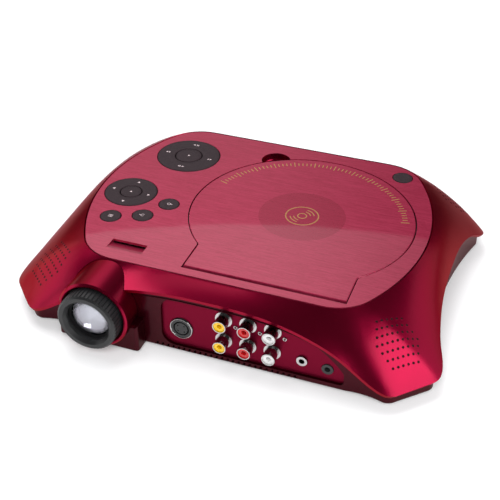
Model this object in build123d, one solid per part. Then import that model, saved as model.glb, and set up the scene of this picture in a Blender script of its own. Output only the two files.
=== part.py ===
from build123d import *
from math import atan2, cos, hypot, pi, radians, sin, sqrt
import os

os.makedirs("parts", exist_ok=True)

# A table-top video projector with a disc player in its top, for a desk or a bedside table.
# Millimetres. X is to the right seen from the lens side, Y runs from the lens to the rear
# and Z is up. Everything is laid out from the middle of the case at floor level, and the
# last lines move it all so that the origin is under the middle of the whole object.

# ------------------------------------------------------------------ case
DECK_HEIGHT = 50.0            # top of the deck above the floor
DECK_HALF_WIDTH = 114.0       # at the middle of the bowed sides
DECK_HALF_DEPTH = 88.5
DECK_SIDE_RADIUS = 145.0      # the bow of each side of the deck
DECK_CORNER_RADIUS = 30.0
WALL = 2.4                    # upper shell, square to its surface
LOWER_WALL = 2.0
FLOOR_THICKNESS = 1.8
SEAM = 0.3                    # moulding gap between shells and panels
SKIRT_SIDE = 130.1            # half width at the crown of a side arch
SKIRT_FRONT = 104.3           # half depth at the crown of the front arch
SKIRT_REAR = 96.0
FOOT_SIDE_X = 142.8           # the corner of a foot that faces sideways
FOOT_SIDE_Y = 79.1
FOOT_END_X = 113.2            # the corner of a foot that faces front or rear
FOOT_END_Y = 110.1
FOOT_BULGE = 2.6              # crown of the foot's end between its two corners
SKIRT_DROP = 38.0             # from the deck down to the skirt's edge at a foot
SIDE_ARCH = 19.8              # how far each arch rises from that level
FRONT_ARCH = 34.4
REAR_ARCH = 20.0
SIDE_PLAN_POWER = 2.76        # how late each edge curve turns towards the foot
SIDE_RISE_POWER = 2.64
FRONT_PLAN_POWER = 2.25
FRONT_RISE_POWER = 2.76
FOOT_ROUNDING = 0.05          # share of each arch that the foot's corner takes up
FOOT_END_MARGIN = 0.12        # the same for the foot's end
SHOULDER_OUT = 0.55           # the skirt's section leaves the deck outwards first
SHOULDER_DOWN = 0.33
SECTION_STEPS = 4
SIDE_POINTS = 7
CORNER_POINTS = 5
FRONT_POINTS = 6

# ------------------------------------------------------------------ lower shell
PAD_THICKNESS = 2.0           # rubber feet
PAD_RADIUS = 8.0
PAD_X = 117.0
PAD_Y = 87.0
BASE_SIDE = 126.0
BASE_FOOT_SIDE_X = 138.4
BASE_FOOT_SIDE_Y = 82.5
BASE_FOOT_END_X = 115.4
BASE_FOOT_END_Y = 105.4
BASE_FRONT = 102.3
BASE_FRONT_HALF = 89.0
BASE_REAR = 92.5
BASE_REAR_HALF = 88.0
BASE_CORNER = 7.0
BASE_EDGE = 1.0               # chamfer round the bottom edge
FRONT_WALL_HALF = 97.0        # where the front wall meets the side walls
REAR_WALL_HALF = 88.0
VENT_COUNT = 26
VENT_PITCH = 3.6
VENT_START_X = -32.0
VENT_WIDTH = 1.4
VENT_HEIGHT = 3.2
VENT_LEAN = 20.0
SIDE_VENT_COUNT = 8
SIDE_VENT_PITCH = 3.6
SIDE_VENT_WIDTH = 1.6
SIDE_VENT_HEIGHT = (7.0, 27.0)
SCREW_HEAD_RADIUS = 3.0
SCREW_SHANK_RADIUS = 1.5
SCREW_HEAD_HEIGHT = 1.6
SCREW_LENGTH = 14.0
SCREW_PLACES = [(-98.0, -78.0), (98.0, -78.0), (-98.0, 78.0), (98.0, 78.0)]
BOSS_RADIUS = 4.2

# ------------------------------------------------------------------ deck panel and lid
PANEL_THICKNESS = 1.6
PANEL_LIP = 0.8               # width of the skirt's rim outside the deck's seam
LEDGE_WIDTH = 3.0
LEDGE_THICKNESS = 1.6
LID_X = 28.7
LID_Y = 0.5
LID_RADIUS = 75.0
LID_THICKNESS = 2.0
LID_GAP = 0.6
TAB_HALF = 52.0               # the straight hinge tab at the lid's front
TAB_FRONT = 78.8
TAB_FILLET = 4.0
HINGE_GAP = 2.6
LID_RIM_WIDTH = 2.0
LID_RIM_HEIGHT = 1.1
LID_EDGE = 0.6                # rounding of the lid's top edge
NOTCH_ANGLE = 121.7
NOTCH_RADIUS = 10.5
NOTCH_DEPTH = 6.5

# lid hinge and latch
HINGE_BACK = 2.0              # the axis behind the lid's front edge
HINGE_DOWN = 4.6              # and below its top
HINGE_PIN_RADIUS = 1.25
HINGE_EAR_RADIUS = 2.3
HINGE_EAR_INNER = 38.0        # from the lid's middle to the inner face of its ear
HINGE_EAR_WIDTH = 4.0
HINGE_BRACKET_WIDTH = 4.0
HINGE_SIDE_PLAY = 0.4
HINGE_PIN_END = 1.0           # how far a pin stands out of its ear and its bracket
RUNNING = 0.05                # radial clearance of a shaft in its bore
CATCH_WIDTH = 8.0
CATCH_DEPTH = 2.0
CATCH_DROP = 6.0
CATCH_NOSE = 1.0
CATCH_PLAY = 1.0              # round the catch in its slot

# ------------------------------------------------------------------ disc well and drive
DISC_RADIUS = 60.0
DISC_PLAY = 2.5               # between the disc's rim and the well
WELL_DEPTH = 13.0             # from the deck to the well's floor
WELL_WALL = 1.6
WELL_RIM_RISE = 1.4
WELL_RIM_WIDTH = 2.4
SLOT_HALF = 16.0              # the pick-up's window in the well's floor
SLOT_NEAR = 11.0
SLOT_FAR = 58.0
HUB_HOLE = 16.5
TURNTABLE_RADIUS = 14.5
TURNTABLE_THICKNESS = 1.4
TURNTABLE_LIFT = 1.8          # above the well's floor
HUB_RADIUS = 7.45             # a disc's centre hole is 15 mm
HUB_HEIGHT = 3.0
HUB_CHAMFER = 0.8
MOTOR_RADIUS = 11.5
MOTOR_HEIGHT = 6.0
SHAFT_RADIUS = 1.0
CHASSIS_THICKNESS = 1.6
CHASSIS_DEPTH_BELOW_WELL = 8.6
CHASSIS_HALF_WIDTH = 33.0
CHASSIS_FRONT = -22.0
CHASSIS_REAR = 72.0
CHASSIS_CORNER = 5.0
CHASSIS_POST_RADIUS = 3.0
CHASSIS_POST_REAR = 52.0
ROD_RADIUS = 1.5
ROD_SPACING = 21.0
ROD_NEAR = 9.0
ROD_FAR = 68.0
ROD_HOLDER = 5.0
SLED_LENGTH = 17.0
SLED_START = 30.0             # pick-up lens to spindle at rest
SLED_TRAVEL_IN = -6.5
SLED_TRAVEL_OUT = 22.0
SLED_HEIGHT = 5.2
SLED_CORNER = 2.0
OPTIC_RADIUS = 4.2
OPTIC_RISE = 2.4
PICKUP_LENS_RADIUS = 2.4
PICKUP_LENS_EDGE = 0.3

# ------------------------------------------------------------------ keys
RING_A = (-72.7, 48.4)
RING_A_RADIUS = 22.6
RING_A_HOLE = 9.9
RING_B = (-90.3, -11.8)
RING_B_RADIUS = 17.9
RING_B_HOLE = 7.7
KEY_GAP = 0.5
KEY_THICKNESS = 3.2
KEY_PROUD = 0.5
KEY_EDGE = 0.4
KEY_FLANGE = 1.0
SMALL_KEY_RADIUS = 6.8
SMALL_KEYS = [("menu_key", -89.8, -44.1), ("source_key", -70.4, -36.1),
              ("zoom_key", -59.6, -17.3), ("power_key", 80.4, 72.7)]
KEY_TRAVEL = 0.7
KEY_TILT = 1.5
KEY_STEM_RADIUS = 2.0
KEY_STEM_PLAY = 0.15          # left over the dome with the key pressed
KEY_BOARD_DROP = 7.2          # from the deck to the key board's top
KEY_BOARD_THICKNESS = 1.6
KEY_BOARD_INSET = 10.0
DOME_HEIGHT = 1.6
DOME_RADIUS = 3.0
CRADLE_WIDTH = 2.2
CRADLE_INSET = 1.0            # from the ring key's hole to its cradle
CRADLE_PLAY = 0.7             # room to rock, above and below the cradle
STUB_RADIUS = 0.5             # the cradle's four stub shafts
STUB_WALL = 0.45              # material round the bore that a stub turns in
STUB_BLOCK_HALF = 1.6
STUB_BLOCK_LENGTH = 1.8
STUB_GAP = 0.35               # from the cradle to the bored blocks

# ------------------------------------------------------------------ card pocket
POCKET_X = (-76.3, -52.3)
POCKET_Y = (-77.1, -67.2)
POCKET_DEPTH = 3.4
CARD_SLOT_HEIGHT = 2.1
CARD_SOCKET_LENGTH = 22.0
POCKET_WALL = 1.0

# ------------------------------------------------------------------ projection lens
LENS_X = -68.0
LENS_Z = 26.3
HOOD_RADIUS = 23.2
HOOD_WALL = 2.8
HOOD_FRONT = -117.0
HOOD_BACK = -89.4
HOOD_EDGE = 1.0
BLOCK_HALF = 27.4
BLOCK_FRONT = -112.0
BLOCK_TOP = 21.0
BLOCK_EDGE = 2.0
RING_RADIUS = 19.6
RING_FRONT = -125.5
RING_BACK = -110.0
KNURL_COUNT = 48
KNURL_DEPTH = 0.8
RING_MOUTH = 14.2
BARREL_RADIUS = 17.0
BARREL_WALL = 1.6
BARREL_FRONT = -120.5
BARREL_BACK = -72.0
BARREL_FLANGE_THICKNESS = 2.0
CELL_FRONT = -119.0
CELL_BACK = -86.0
CELL_WALL = 1.6
GLASS_RADIUS = 13.3
FRONT_GLASS_CROWN = 3.2
GLASS_EDGE = 2.6
GLASS_SEAT = 1.5              # width of the step that a lens sits on
REAR_GLASS_CROWN = 2.0
FOCUS_TRAVEL = 1.5

# light engine behind the lens
LCD_Y = -52.0
LCD_WIDTH = 36.0
LCD_HEIGHT = 28.0
LCD_THICKNESS = 3.0
LCD_WINDOW_WIDTH = 28.0
LCD_WINDOW_HEIGHT = 21.0
CONDENSER_Y = -40.0
CONDENSER_RADIUS = 12.4
CONDENSER_CROWN = 4.0
CONDENSER_EDGE = 1.6
REFLECTOR_MOUTH = 13.4
REFLECTOR_FRONT = -28.0
REFLECTOR_DEPTH = 18.0
REFLECTOR_NECK = 5.0
REFLECTOR_WALL = 1.2
LAMP_RADIUS = 3.6
LAMP_LENGTH = 17.0
LAMP_SOCKET_LENGTH = 12.0
LAMP_SOCKET_RADIUS = 7.0
CRADLE_FOOT_WALL = 2.0
FIN_COUNT = 9
FIN_PITCH = 4.0
FIN_THICKNESS = 1.2
SINK_DEPTH = 22.0
SINK_HEIGHT = 24.0
SINK_BASE = 3.0

# cooling fan behind the slots of the left wall
FAN_Y = 12.0
FAN_SIZE = 32.0
FAN_DEPTH = 10.0
FAN_X = -118.6
FAN_BORE = 14.8
FAN_HUB = 6.5
FAN_BLADES = 7
FAN_BLADE_TIP = 14.0
FAN_BLADE_THICKNESS = 0.9
FAN_BLADE_PITCH = 35.0

# ------------------------------------------------------------------ connectors on the front
JACK_PANEL_THICKNESS = 2.0
JACK_PANEL_MARGIN = 2.0
RECESS_LEFT = -28.5
RECESS_RIGHT = 88.0
RECESS_BOTTOM = 6.0
RECESS_TOP = 41.0
RECESS_RIGHT_TOP = 15.0
RECESS_BEND = 36.0            # where its straight top starts to come down
RECESS_SHOULDER = (66.0, 33.5)
RCA_X = 12.2
RCA_PITCH_X = 15.5
RCA_ROWS = (34.4, 18.6)
RCA_RADIUS = 4.15
RCA_WALL = 0.5
RCA_FRONT = -109.6
RCA_FLANGE_RADIUS = 5.4
RCA_FLANGE_THICKNESS = 1.4
RCA_BORE = 1.6
RCA_INSERT_RECESS = 0.8
DIN_X = -16.0
DIN_Z = 19.0
DIN_RADIUS = 7.4
DIN_BORE = 5.2
DIN_PINS = 4
DIN_PIN_CIRCLE = 3.0
DIN_PIN_RADIUS = 0.5
PHONE_X = 61.6
PHONE_Z = 16.5
PHONE_RADIUS = 3.4
PHONE_BORE = 1.8
AV_X = 77.4
AV_Z = 14.5
AV_RADIUS = 3.6
JACK_BOARD_THICKNESS = 1.6
JACK_BODY_DEPTH = 11.0

# rear connectors
INLET_X = 60.0
INLET_Z = 14.0
INLET_RADIUS = 3.9
INLET_BORE = 3.1
INLET_PIN = 1.0
INLET_DEPTH = 9.5
INLET_BODY = 11.0

# ------------------------------------------------------------------ boards and speakers
BOARD_THICKNESS = 1.6
BOARD_LEVEL = 8.0
BOARD_X = (-34.0, 104.0)
BOARD_Y = (-72.0, 70.0)
STANDOFF_RADIUS = 3.0
CHIPS = [(10.0, -30.0, 22.0, 22.0, 2.0), (50.0, -28.0, 16.0, 12.0, 1.6), (70.0, 10.0, 14.0, 14.0, 1.6),
         (-10.0, 30.0, 12.0, 20.0, 1.6)]
CAPACITORS = [(85.0, -30.0), (85.0, -18.0), (85.0, -6.0)]
CAPACITOR_RADIUS = 4.0
CAPACITOR_HEIGHT = 9.0
SPEAKER_RADIUS = 10.5
SPEAKER_DEPTH = 9.0
SPEAKER_MAGNET = 6.0
SPEAKER_X = 118.0
SPEAKER_Y = 84.0

# ------------------------------------------------------------------ levels worked out from the above
BASE_LEVEL = PAD_THICKNESS
INNER_FLOOR = BASE_LEVEL + FLOOR_THICKNESS
PANEL_UNDER = DECK_HEIGHT - PANEL_THICKNESS
LID_UNDER = DECK_HEIGHT - LID_THICKNESS
WELL_SEAT = LID_UNDER - LID_RIM_HEIGHT - SEAM
WELL_RADIUS = DISC_RADIUS + DISC_PLAY
WELL_FLOOR = DECK_HEIGHT - WELL_DEPTH
WELL_UNDER = WELL_FLOOR - WELL_WALL
CHASSIS_TOP = WELL_UNDER - CHASSIS_DEPTH_BELOW_WELL
ROD_LEVEL = WELL_UNDER - SEAM - SLED_HEIGHT / 2
HINGE_Y = LID_Y - TAB_FRONT + HINGE_BACK
HINGE_Z = DECK_HEIGHT - HINGE_DOWN
HINGE_SWING = hypot(HINGE_BACK, HINGE_DOWN) + SEAM
BOARD_TOP = DECK_HEIGHT - KEY_BOARD_DROP
KEY_TOP = DECK_HEIGHT + KEY_PROUD
KEY_UNDER = KEY_TOP - KEY_THICKNESS - KEY_FLANGE
ROCK_LEVEL = (BOARD_TOP + KEY_UNDER) / 2
STEM_LOW = BOARD_TOP + DOME_HEIGHT + KEY_TRAVEL + KEY_STEM_PLAY

parts = {}


# ------------------------------------------------------------------ small builders
def block(x, y, z):
    """A box between three pairs of limits."""
    size = Box(x[1] - x[0], y[1] - y[0], z[1] - z[0])
    return Pos((x[0] + x[1]) / 2, (y[0] + y[1]) / 2, (z[0] + z[1]) / 2) * size


def post(x, y, z, radius):
    """An upright cylinder between two levels."""
    return Pos(x, y, (z[0] + z[1]) / 2) * Cylinder(radius, z[1] - z[0])


def shaft_y(x, y, z, radius):
    """A cylinder along Y."""
    return Pos(x, (y[0] + y[1]) / 2, z) * Rot(90, 0, 0) * Cylinder(radius, y[1] - y[0])


def shaft_x(x, y, z, radius):
    """A cylinder along X."""
    return Pos((x[0] + x[1]) / 2, y, z) * Rot(0, 90, 0) * Cylinder(radius, x[1] - x[0])


def tube_y(x, y, z, outer, inner):
    return shaft_y(x, y, z, outer) - shaft_y(x, y, z, inner)


def tube_z(x, y, z, outer, inner):
    return post(x, y, z, outer) - post(x, y, z, inner)


def slab(face, z):
    """A flat outline drawn at floor level, raised between two levels."""
    return Pos(0, 0, z[0]) * extrude(face, z[1] - z[0])


# ------------------------------------------------------------------ outlines
SIDE_ARC_X = DECK_HALF_WIDTH - DECK_SIDE_RADIUS
CORNER_Y = DECK_HALF_DEPTH - DECK_CORNER_RADIUS
CORNER_X = SIDE_ARC_X + sqrt((DECK_SIDE_RADIUS - DECK_CORNER_RADIUS) ** 2 - CORNER_Y ** 2)
CORNER_ANGLE = atan2(CORNER_Y, CORNER_X - SIDE_ARC_X)


def deck_face(inset):
    """The deck's outline: straight front and rear, bowed sides, round corners."""
    side = DECK_SIDE_RADIUS - inset
    corner = DECK_CORNER_RADIUS - inset
    middle = (CORNER_ANGLE + pi / 2) / 2
    end = Vector(CORNER_X, DECK_HALF_DEPTH - inset)
    bend = Vector(CORNER_X + corner * cos(middle), CORNER_Y + corner * sin(middle))
    start = Vector(SIDE_ARC_X + side * cos(CORNER_ANGLE), side * sin(CORNER_ANGLE))
    edges = []
    for mirror_y in (1, -1):
        edges.append(Line((-end.X, mirror_y * end.Y), (end.X, mirror_y * end.Y)))
        for mirror_x in (1, -1):
            corner_points = [(mirror_x * p.X, mirror_y * p.Y) for p in (start, bend, end)]
            edges.append(ThreePointArc(*corner_points))
    for mirror_x in (1, -1):
        crown = (mirror_x * (DECK_HALF_WIDTH - inset), 0)
        edges.append(ThreePointArc((mirror_x * start.X, -start.Y), crown, (mirror_x * start.X, start.Y)))
    return make_face(Wire(edges))


def lid_face(grow, front_grow):
    """The lid's outline: a circle with a straight tab towards the lens side."""
    half = TAB_HALF + grow
    front = TAB_FRONT + front_grow
    tab = Pos(0, -front / 2) * Rectangle(2 * half, front)
    outline = Circle(LID_RADIUS + grow) + tab
    meeting = sqrt((LID_RADIUS + grow) ** 2 - half ** 2)
    inner = [v for v in outline.vertices() if abs(v.Y + meeting) < 1]
    outline = fillet(inner, TAB_FILLET)
    return Pos(LID_X, LID_Y) * outline


def base_face(inset):
    """The lower shell's outline: four feet joined by hollow sides."""
    foot_end = (BASE_FOOT_END_X, BASE_FOOT_END_Y)
    foot_side = (BASE_FOOT_SIDE_X, BASE_FOOT_SIDE_Y)
    bend_front = (0.45 * BASE_FRONT_HALF + 0.55 * foot_end[0], BASE_FRONT)
    bend_rear = (0.45 * BASE_REAR_HALF + 0.55 * foot_end[0], 0.75 * BASE_REAR + 0.25 * foot_end[1])
    edges = []
    edges.append(Line((-BASE_FRONT_HALF, -BASE_FRONT), (BASE_FRONT_HALF, -BASE_FRONT)))
    edges.append(Line((-BASE_REAR_HALF, BASE_REAR), (BASE_REAR_HALF, BASE_REAR)))
    for m in (1, -1):
        edges.append(ThreePointArc((m * BASE_FRONT_HALF, -BASE_FRONT), (m * bend_front[0], -bend_front[1]),
                                   (m * foot_end[0], -foot_end[1])))
        edges.append(ThreePointArc((m * BASE_REAR_HALF, BASE_REAR), (m * bend_rear[0], bend_rear[1]),
                                   (m * foot_end[0], foot_end[1])))
        edges.append(Line((m * foot_end[0], -foot_end[1]), (m * foot_side[0], -foot_side[1])))
        edges.append(Line((m * foot_end[0], foot_end[1]), (m * foot_side[0], foot_side[1])))
        edges.append(ThreePointArc((m * foot_side[0], -foot_side[1]), (m * BASE_SIDE, 0),
                                   (m * foot_side[0], foot_side[1])))
    outline = make_face(Wire(edges))
    corners = [v for v in outline.vertices() if abs(v.X) > BASE_FOOT_END_X - 1]
    outline = fillet(corners, BASE_CORNER)
    if inset > 0:
        outline = offset(outline, -inset)
    return outline


# ------------------------------------------------------------------ the skirt's surfaces
def deck_quadrant():
    """Points round a quarter of the deck's edge, from mid side to mid front."""
    points = []
    for i in range(SIDE_POINTS):
        angle = CORNER_ANGLE * i / (SIDE_POINTS - 1)
        points.append((SIDE_ARC_X + DECK_SIDE_RADIUS * cos(angle), DECK_SIDE_RADIUS * sin(angle)))
    for i in range(1, CORNER_POINTS + 1):
        angle = CORNER_ANGLE + (pi / 2 - CORNER_ANGLE) * i / (CORNER_POINTS + 1)
        points.append((CORNER_X + DECK_CORNER_RADIUS * cos(angle), CORNER_Y + DECK_CORNER_RADIUS * sin(angle)))
    for i in range(FRONT_POINTS):
        points.append((CORNER_X * (1 - i / (FRONT_POINTS - 1)), DECK_HALF_DEPTH))
    return [(x, y, 0.0) for x, y in points]


def edge_quadrant(crown, arch):
    """The matching points round the skirt's lower edge, for a front or a rear quarter."""
    points = []
    for i in range(SIDE_POINTS):
        u = (1 - FOOT_ROUNDING) * i / (SIDE_POINTS - 1)
        x = SKIRT_SIDE + (FOOT_SIDE_X - SKIRT_SIDE) * u ** SIDE_PLAN_POWER
        z = -SKIRT_DROP + SIDE_ARCH * (1 - u ** SIDE_RISE_POWER)
        points.append((x, FOOT_SIDE_Y * u, z))
    run_x = FOOT_END_X - FOOT_SIDE_X
    run_y = FOOT_END_Y - FOOT_SIDE_Y
    length = hypot(run_x, run_y)
    for i in range(CORNER_POINTS):
        v = FOOT_END_MARGIN + (1 - 2 * FOOT_END_MARGIN) * i / (CORNER_POINTS - 1)
        out = (1 - (2 * v - 1) ** 4) * FOOT_BULGE
        x = FOOT_SIDE_X + run_x * v + out * run_y / length
        y = FOOT_SIDE_Y + run_y * v - out * run_x / length
        points.append((x, y, -SKIRT_DROP))
    for i in range(FRONT_POINTS):
        w = (1 - FOOT_ROUNDING) * (1 - i / (FRONT_POINTS - 1))
        y = crown + (FOOT_END_Y - crown) * w ** FRONT_PLAN_POWER
        points.append((FOOT_END_X * w, y, -SKIRT_DROP + arch * (1 - w ** FRONT_RISE_POWER)))
    return points


def skirt_ribs(depth):
    """Pairs of points, at the deck and at the edge, of the surface this deep inside the skirt."""
    ribs = []
    for crown, arch, mirror_y in ((SKIRT_REAR, REAR_ARCH, 1), (SKIRT_FRONT, FRONT_ARCH, -1)):
        quarter = []
        for d, e in zip(deck_quadrant(), edge_quadrant(crown, arch)):
            run = hypot(e[0] - d[0], e[1] - d[1])
            slope = atan2(-e[2], run)
            inward = depth * sin(slope) / run
            step = ((e[0] - d[0]) * inward, (e[1] - d[1]) * inward)
            top = (d[0] - step[0], mirror_y * (d[1] - step[1]), DECK_HEIGHT - depth)
            low = (e[0] - step[0], mirror_y * (e[1] - step[1]), DECK_HEIGHT + e[2] - depth * cos(slope))
            quarter.append((top, low))
        ribs.append(quarter)
    rear, front = ribs
    flip = lambda rib: tuple((-x, y, z) for x, y, z in rib)
    loop = list(rear)
    loop += [flip(rib) for rib in rear[-2::-1]]
    loop += [flip(rib) for rib in front[1:]]
    loop += front[-2:0:-1]
    return loop


def skirt_ring(depth, v):
    """A closed curve round the skirt, v of the way from the deck to the lower edge."""
    out = 2 * v * (1 - v) * SHOULDER_OUT + v * v
    down = 2 * v * (1 - v) * SHOULDER_DOWN + v * v
    points = []
    for top, low in skirt_ribs(depth):
        x = top[0] + (low[0] - top[0]) * out
        y = top[1] + (low[1] - top[1]) * out
        points.append(Vector(x, y, top[2] + (low[2] - top[2]) * down))
    return Wire([Edge.make_spline(points, periodic=True)])


def skirt_rings(depth):
    return [skirt_ring(depth, i / SECTION_STEPS) for i in range(SECTION_STEPS + 1)]


def skirt_solid():
    """The flared wall of the upper shell, between its outer and inner surfaces."""
    outer = skirt_rings(0)
    inner = skirt_rings(WALL)
    faces = Shell.make_loft(outer).faces() + Shell.make_loft(inner).faces()
    faces += Shell.make_loft([outer[0], inner[0]], ruled=True).faces()
    faces += Shell.make_loft([outer[-1], inner[-1]], ruled=True).faces()
    return Solid(Shell(faces))


def skirt_core(depth):
    """All the room under the skirt's surface at this depth, down past the floor."""
    rings = skirt_rings(depth)
    floor_points = [Vector(low[0], low[1], -DECK_HEIGHT) for top, low in skirt_ribs(depth)]
    bottom = Wire([Edge.make_spline(floor_points, periodic=True)])
    faces = Shell.make_loft(rings).faces()
    faces += Shell.make_loft([rings[-1], bottom], ruled=True).faces()
    faces += [Face(rings[0]), Face(bottom)]
    return Solid(Shell(faces))


# ------------------------------------------------------------------ upper shell
def hood_clearance():
    return shaft_y(LENS_X, (RING_FRONT, HOOD_BACK + SEAM), LENS_Z, HOOD_RADIUS + SEAM)


def make_upper_shell():
    shell = skirt_solid()
    ledge_top = PANEL_UNDER
    ledge = slab(deck_face(PANEL_LIP / 2), (ledge_top - LEDGE_THICKNESS, ledge_top))
    ledge -= slab(deck_face(LEDGE_WIDTH), (0, DECK_HEIGHT))
    shell -= slab(deck_face(PANEL_LIP), (ledge_top, DECK_HEIGHT + 1))
    shell += ledge
    for x, y in SCREW_PLACES:
        boss = post(x, y, (SCREW_LENGTH, ledge_top - LEDGE_THICKNESS), BOSS_RADIUS)
        hole = post(x, y, (0, SCREW_LENGTH + INNER_FLOOR), SCREW_SHANK_RADIUS)
        shell += (boss & skirt_core(WALL / 2)) - hole
    shell -= hood_clearance()
    return shell


# ------------------------------------------------------------------ lower shell
def recess_face(margin):
    """The connector recess on the front wall, drawn in X and Z."""
    left = RECESS_LEFT - margin
    right = RECESS_RIGHT + margin
    low = RECESS_BOTTOM - margin
    top = RECESS_TOP + margin
    right_top = RECESS_RIGHT_TOP + margin
    height = top - low
    shoulder = (RECESS_SHOULDER[0] + margin * sqrt(0.5), RECESS_SHOULDER[1] + margin * sqrt(0.5))
    edges = [Line((left, low), (right, low)),
             Line((right, low), (right, right_top)),
             ThreePointArc((right, right_top), shoulder, (RECESS_BEND, top)),
             Line((RECESS_BEND, top), (left, top)),
             Line((left, top), (left, low))]
    outline = make_face(Wire(edges))
    left_corners = [v for v in outline.vertices() if v.X < left + 1]
    outline = fillet(left_corners, 0.25 * height)
    right_corners = [v for v in outline.vertices() if v.X > right - 1]
    return fillet(right_corners, 0.3 * (right_top - low))


def wall_plate(face, y):
    """A plate standing in the X-Z plane between two places along Y."""
    upright = Plane(origin=(0, y[1], 0), x_dir=(1, 0, 0), z_dir=(0, -1, 0))
    return extrude(upright * face, y[1] - y[0])


def make_lens_block():
    """The square housing below and beside the lens hood."""
    block_out = block((LENS_X - BLOCK_HALF, LENS_X + BLOCK_HALF), (BLOCK_FRONT, LOWER_WALL - BASE_FRONT),
                      (BASE_LEVEL, BLOCK_TOP))
    corners = [e for e in block_out.edges() if abs(e.center().Y - BLOCK_FRONT) < 0.1 and e.center().Z > INNER_FLOOR]
    return fillet(corners, BLOCK_EDGE)


def vent_slots():
    """The leaning slots along the bottom of the front wall."""
    size = Box(VENT_WIDTH, 2.5 * LOWER_WALL, VENT_HEIGHT)
    return [Pos(VENT_START_X + i * VENT_PITCH, -BASE_FRONT, INNER_FLOOR) * Rot(0, VENT_LEAN, 0) * size
            for i in range(VENT_COUNT)]


def make_lower_shell():
    """The floor of the case, with the bosses that the case screws go through."""
    floor = slab(base_face(0), (BASE_LEVEL, INNER_FLOOR))
    floor = chamfer(floor.edges().group_by(Axis.Z)[0], BASE_EDGE)
    floor -= make_lens_block()
    floor -= hood_clearance()
    floor -= vent_slots()
    for x, y in SCREW_PLACES:
        floor += post(x, y, (BASE_LEVEL, SCREW_LENGTH - SEAM), BOSS_RADIUS)
        floor -= post(x, y, (BASE_LEVEL, SCREW_LENGTH), SCREW_SHANK_RADIUS + 0.3)
        floor -= post(x, y, (BASE_LEVEL, BASE_LEVEL + SCREW_HEAD_HEIGHT), SCREW_HEAD_RADIUS + 0.3)
    return floor


def wall_band():
    """The wall that stands on the floor of the case and reaches up inside the skirt."""
    room = (INNER_FLOOR, DECK_HEIGHT)
    band = slab(base_face(0), room) - slab(base_face(LOWER_WALL), room)
    return (band & skirt_core(WALL + SEAM)) - hood_clearance()


def front_room():
    return block((-FRONT_WALL_HALF, FRONT_WALL_HALF), (-FOOT_END_Y, 0), (0, DECK_HEIGHT))


def rear_room():
    return block((-REAR_WALL_HALF, REAR_WALL_HALF), (0, FOOT_END_Y), (0, DECK_HEIGHT))


def make_front_wall(band):
    wall = band & front_room()
    wall += make_lens_block() - hood_clearance()
    wall -= wall_plate(recess_face(0), (-BASE_FRONT - 1, LOWER_WALL - BASE_FRONT + 1))
    return wall - vent_slots()


def make_side_walls(band):
    walls = band - front_room() - rear_room()
    for side in (-1, 1):
        for i in range(SIDE_VENT_COUNT):
            y = FAN_Y + (i - (SIDE_VENT_COUNT - 1) / 2) * SIDE_VENT_PITCH
            walls -= block((side * BASE_SIDE - 2 * LOWER_WALL, side * BASE_SIDE + 2 * LOWER_WALL),
                           (y - SIDE_VENT_WIDTH / 2, y + SIDE_VENT_WIDTH / 2), SIDE_VENT_HEIGHT)
    return walls


def make_rear_wall(band):
    inlet = shaft_y(INLET_X, (BASE_REAR - 2 * LOWER_WALL, BASE_REAR + 1), INLET_Z, INLET_RADIUS + 0.4)
    return (band & rear_room()) - inlet


# ------------------------------------------------------------------ deck panel
def make_deck_panel():
    panel = slab(deck_face(PANEL_LIP + SEAM), (PANEL_UNDER, DECK_HEIGHT))
    panel -= slab(lid_face(LID_GAP, HINGE_GAP), (PANEL_UNDER - 1, DECK_HEIGHT + 1))
    for (x, y), radius in ((RING_A, RING_A_RADIUS), (RING_B, RING_B_RADIUS)):
        panel -= post(x, y, (PANEL_UNDER - 1, DECK_HEIGHT + 1), radius + KEY_GAP)
    for name, x, y in SMALL_KEYS:
        panel -= post(x, y, (PANEL_UNDER - 1, DECK_HEIGHT + 1), SMALL_KEY_RADIUS + KEY_GAP)
    turn = radians(NOTCH_ANGLE)
    reach = LID_RADIUS + LID_GAP
    notch_x = LID_X + reach * cos(turn)
    notch_y = LID_Y + reach * sin(turn)
    panel -= post(notch_x, notch_y, (PANEL_UNDER - 1, DECK_HEIGHT + 1), NOTCH_RADIUS)
    pocket_floor = DECK_HEIGHT - POCKET_DEPTH
    cup = block((POCKET_X[0] - POCKET_WALL, POCKET_X[1] + POCKET_WALL), (POCKET_Y[0] - POCKET_WALL, POCKET_Y[1]),
                (pocket_floor - POCKET_WALL, PANEL_UNDER))
    panel += cup
    panel -= block(POCKET_X, POCKET_Y, (pocket_floor, DECK_HEIGHT + 1))
    return panel


# ------------------------------------------------------------------ lid and its hinge
def hinge_sides(inner, width):
    """The two X ranges, one each side of the lid's middle, of a hinge piece."""
    return ((LID_X + inner, LID_X + inner + width), (LID_X - inner - width, LID_X - inner))


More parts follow.
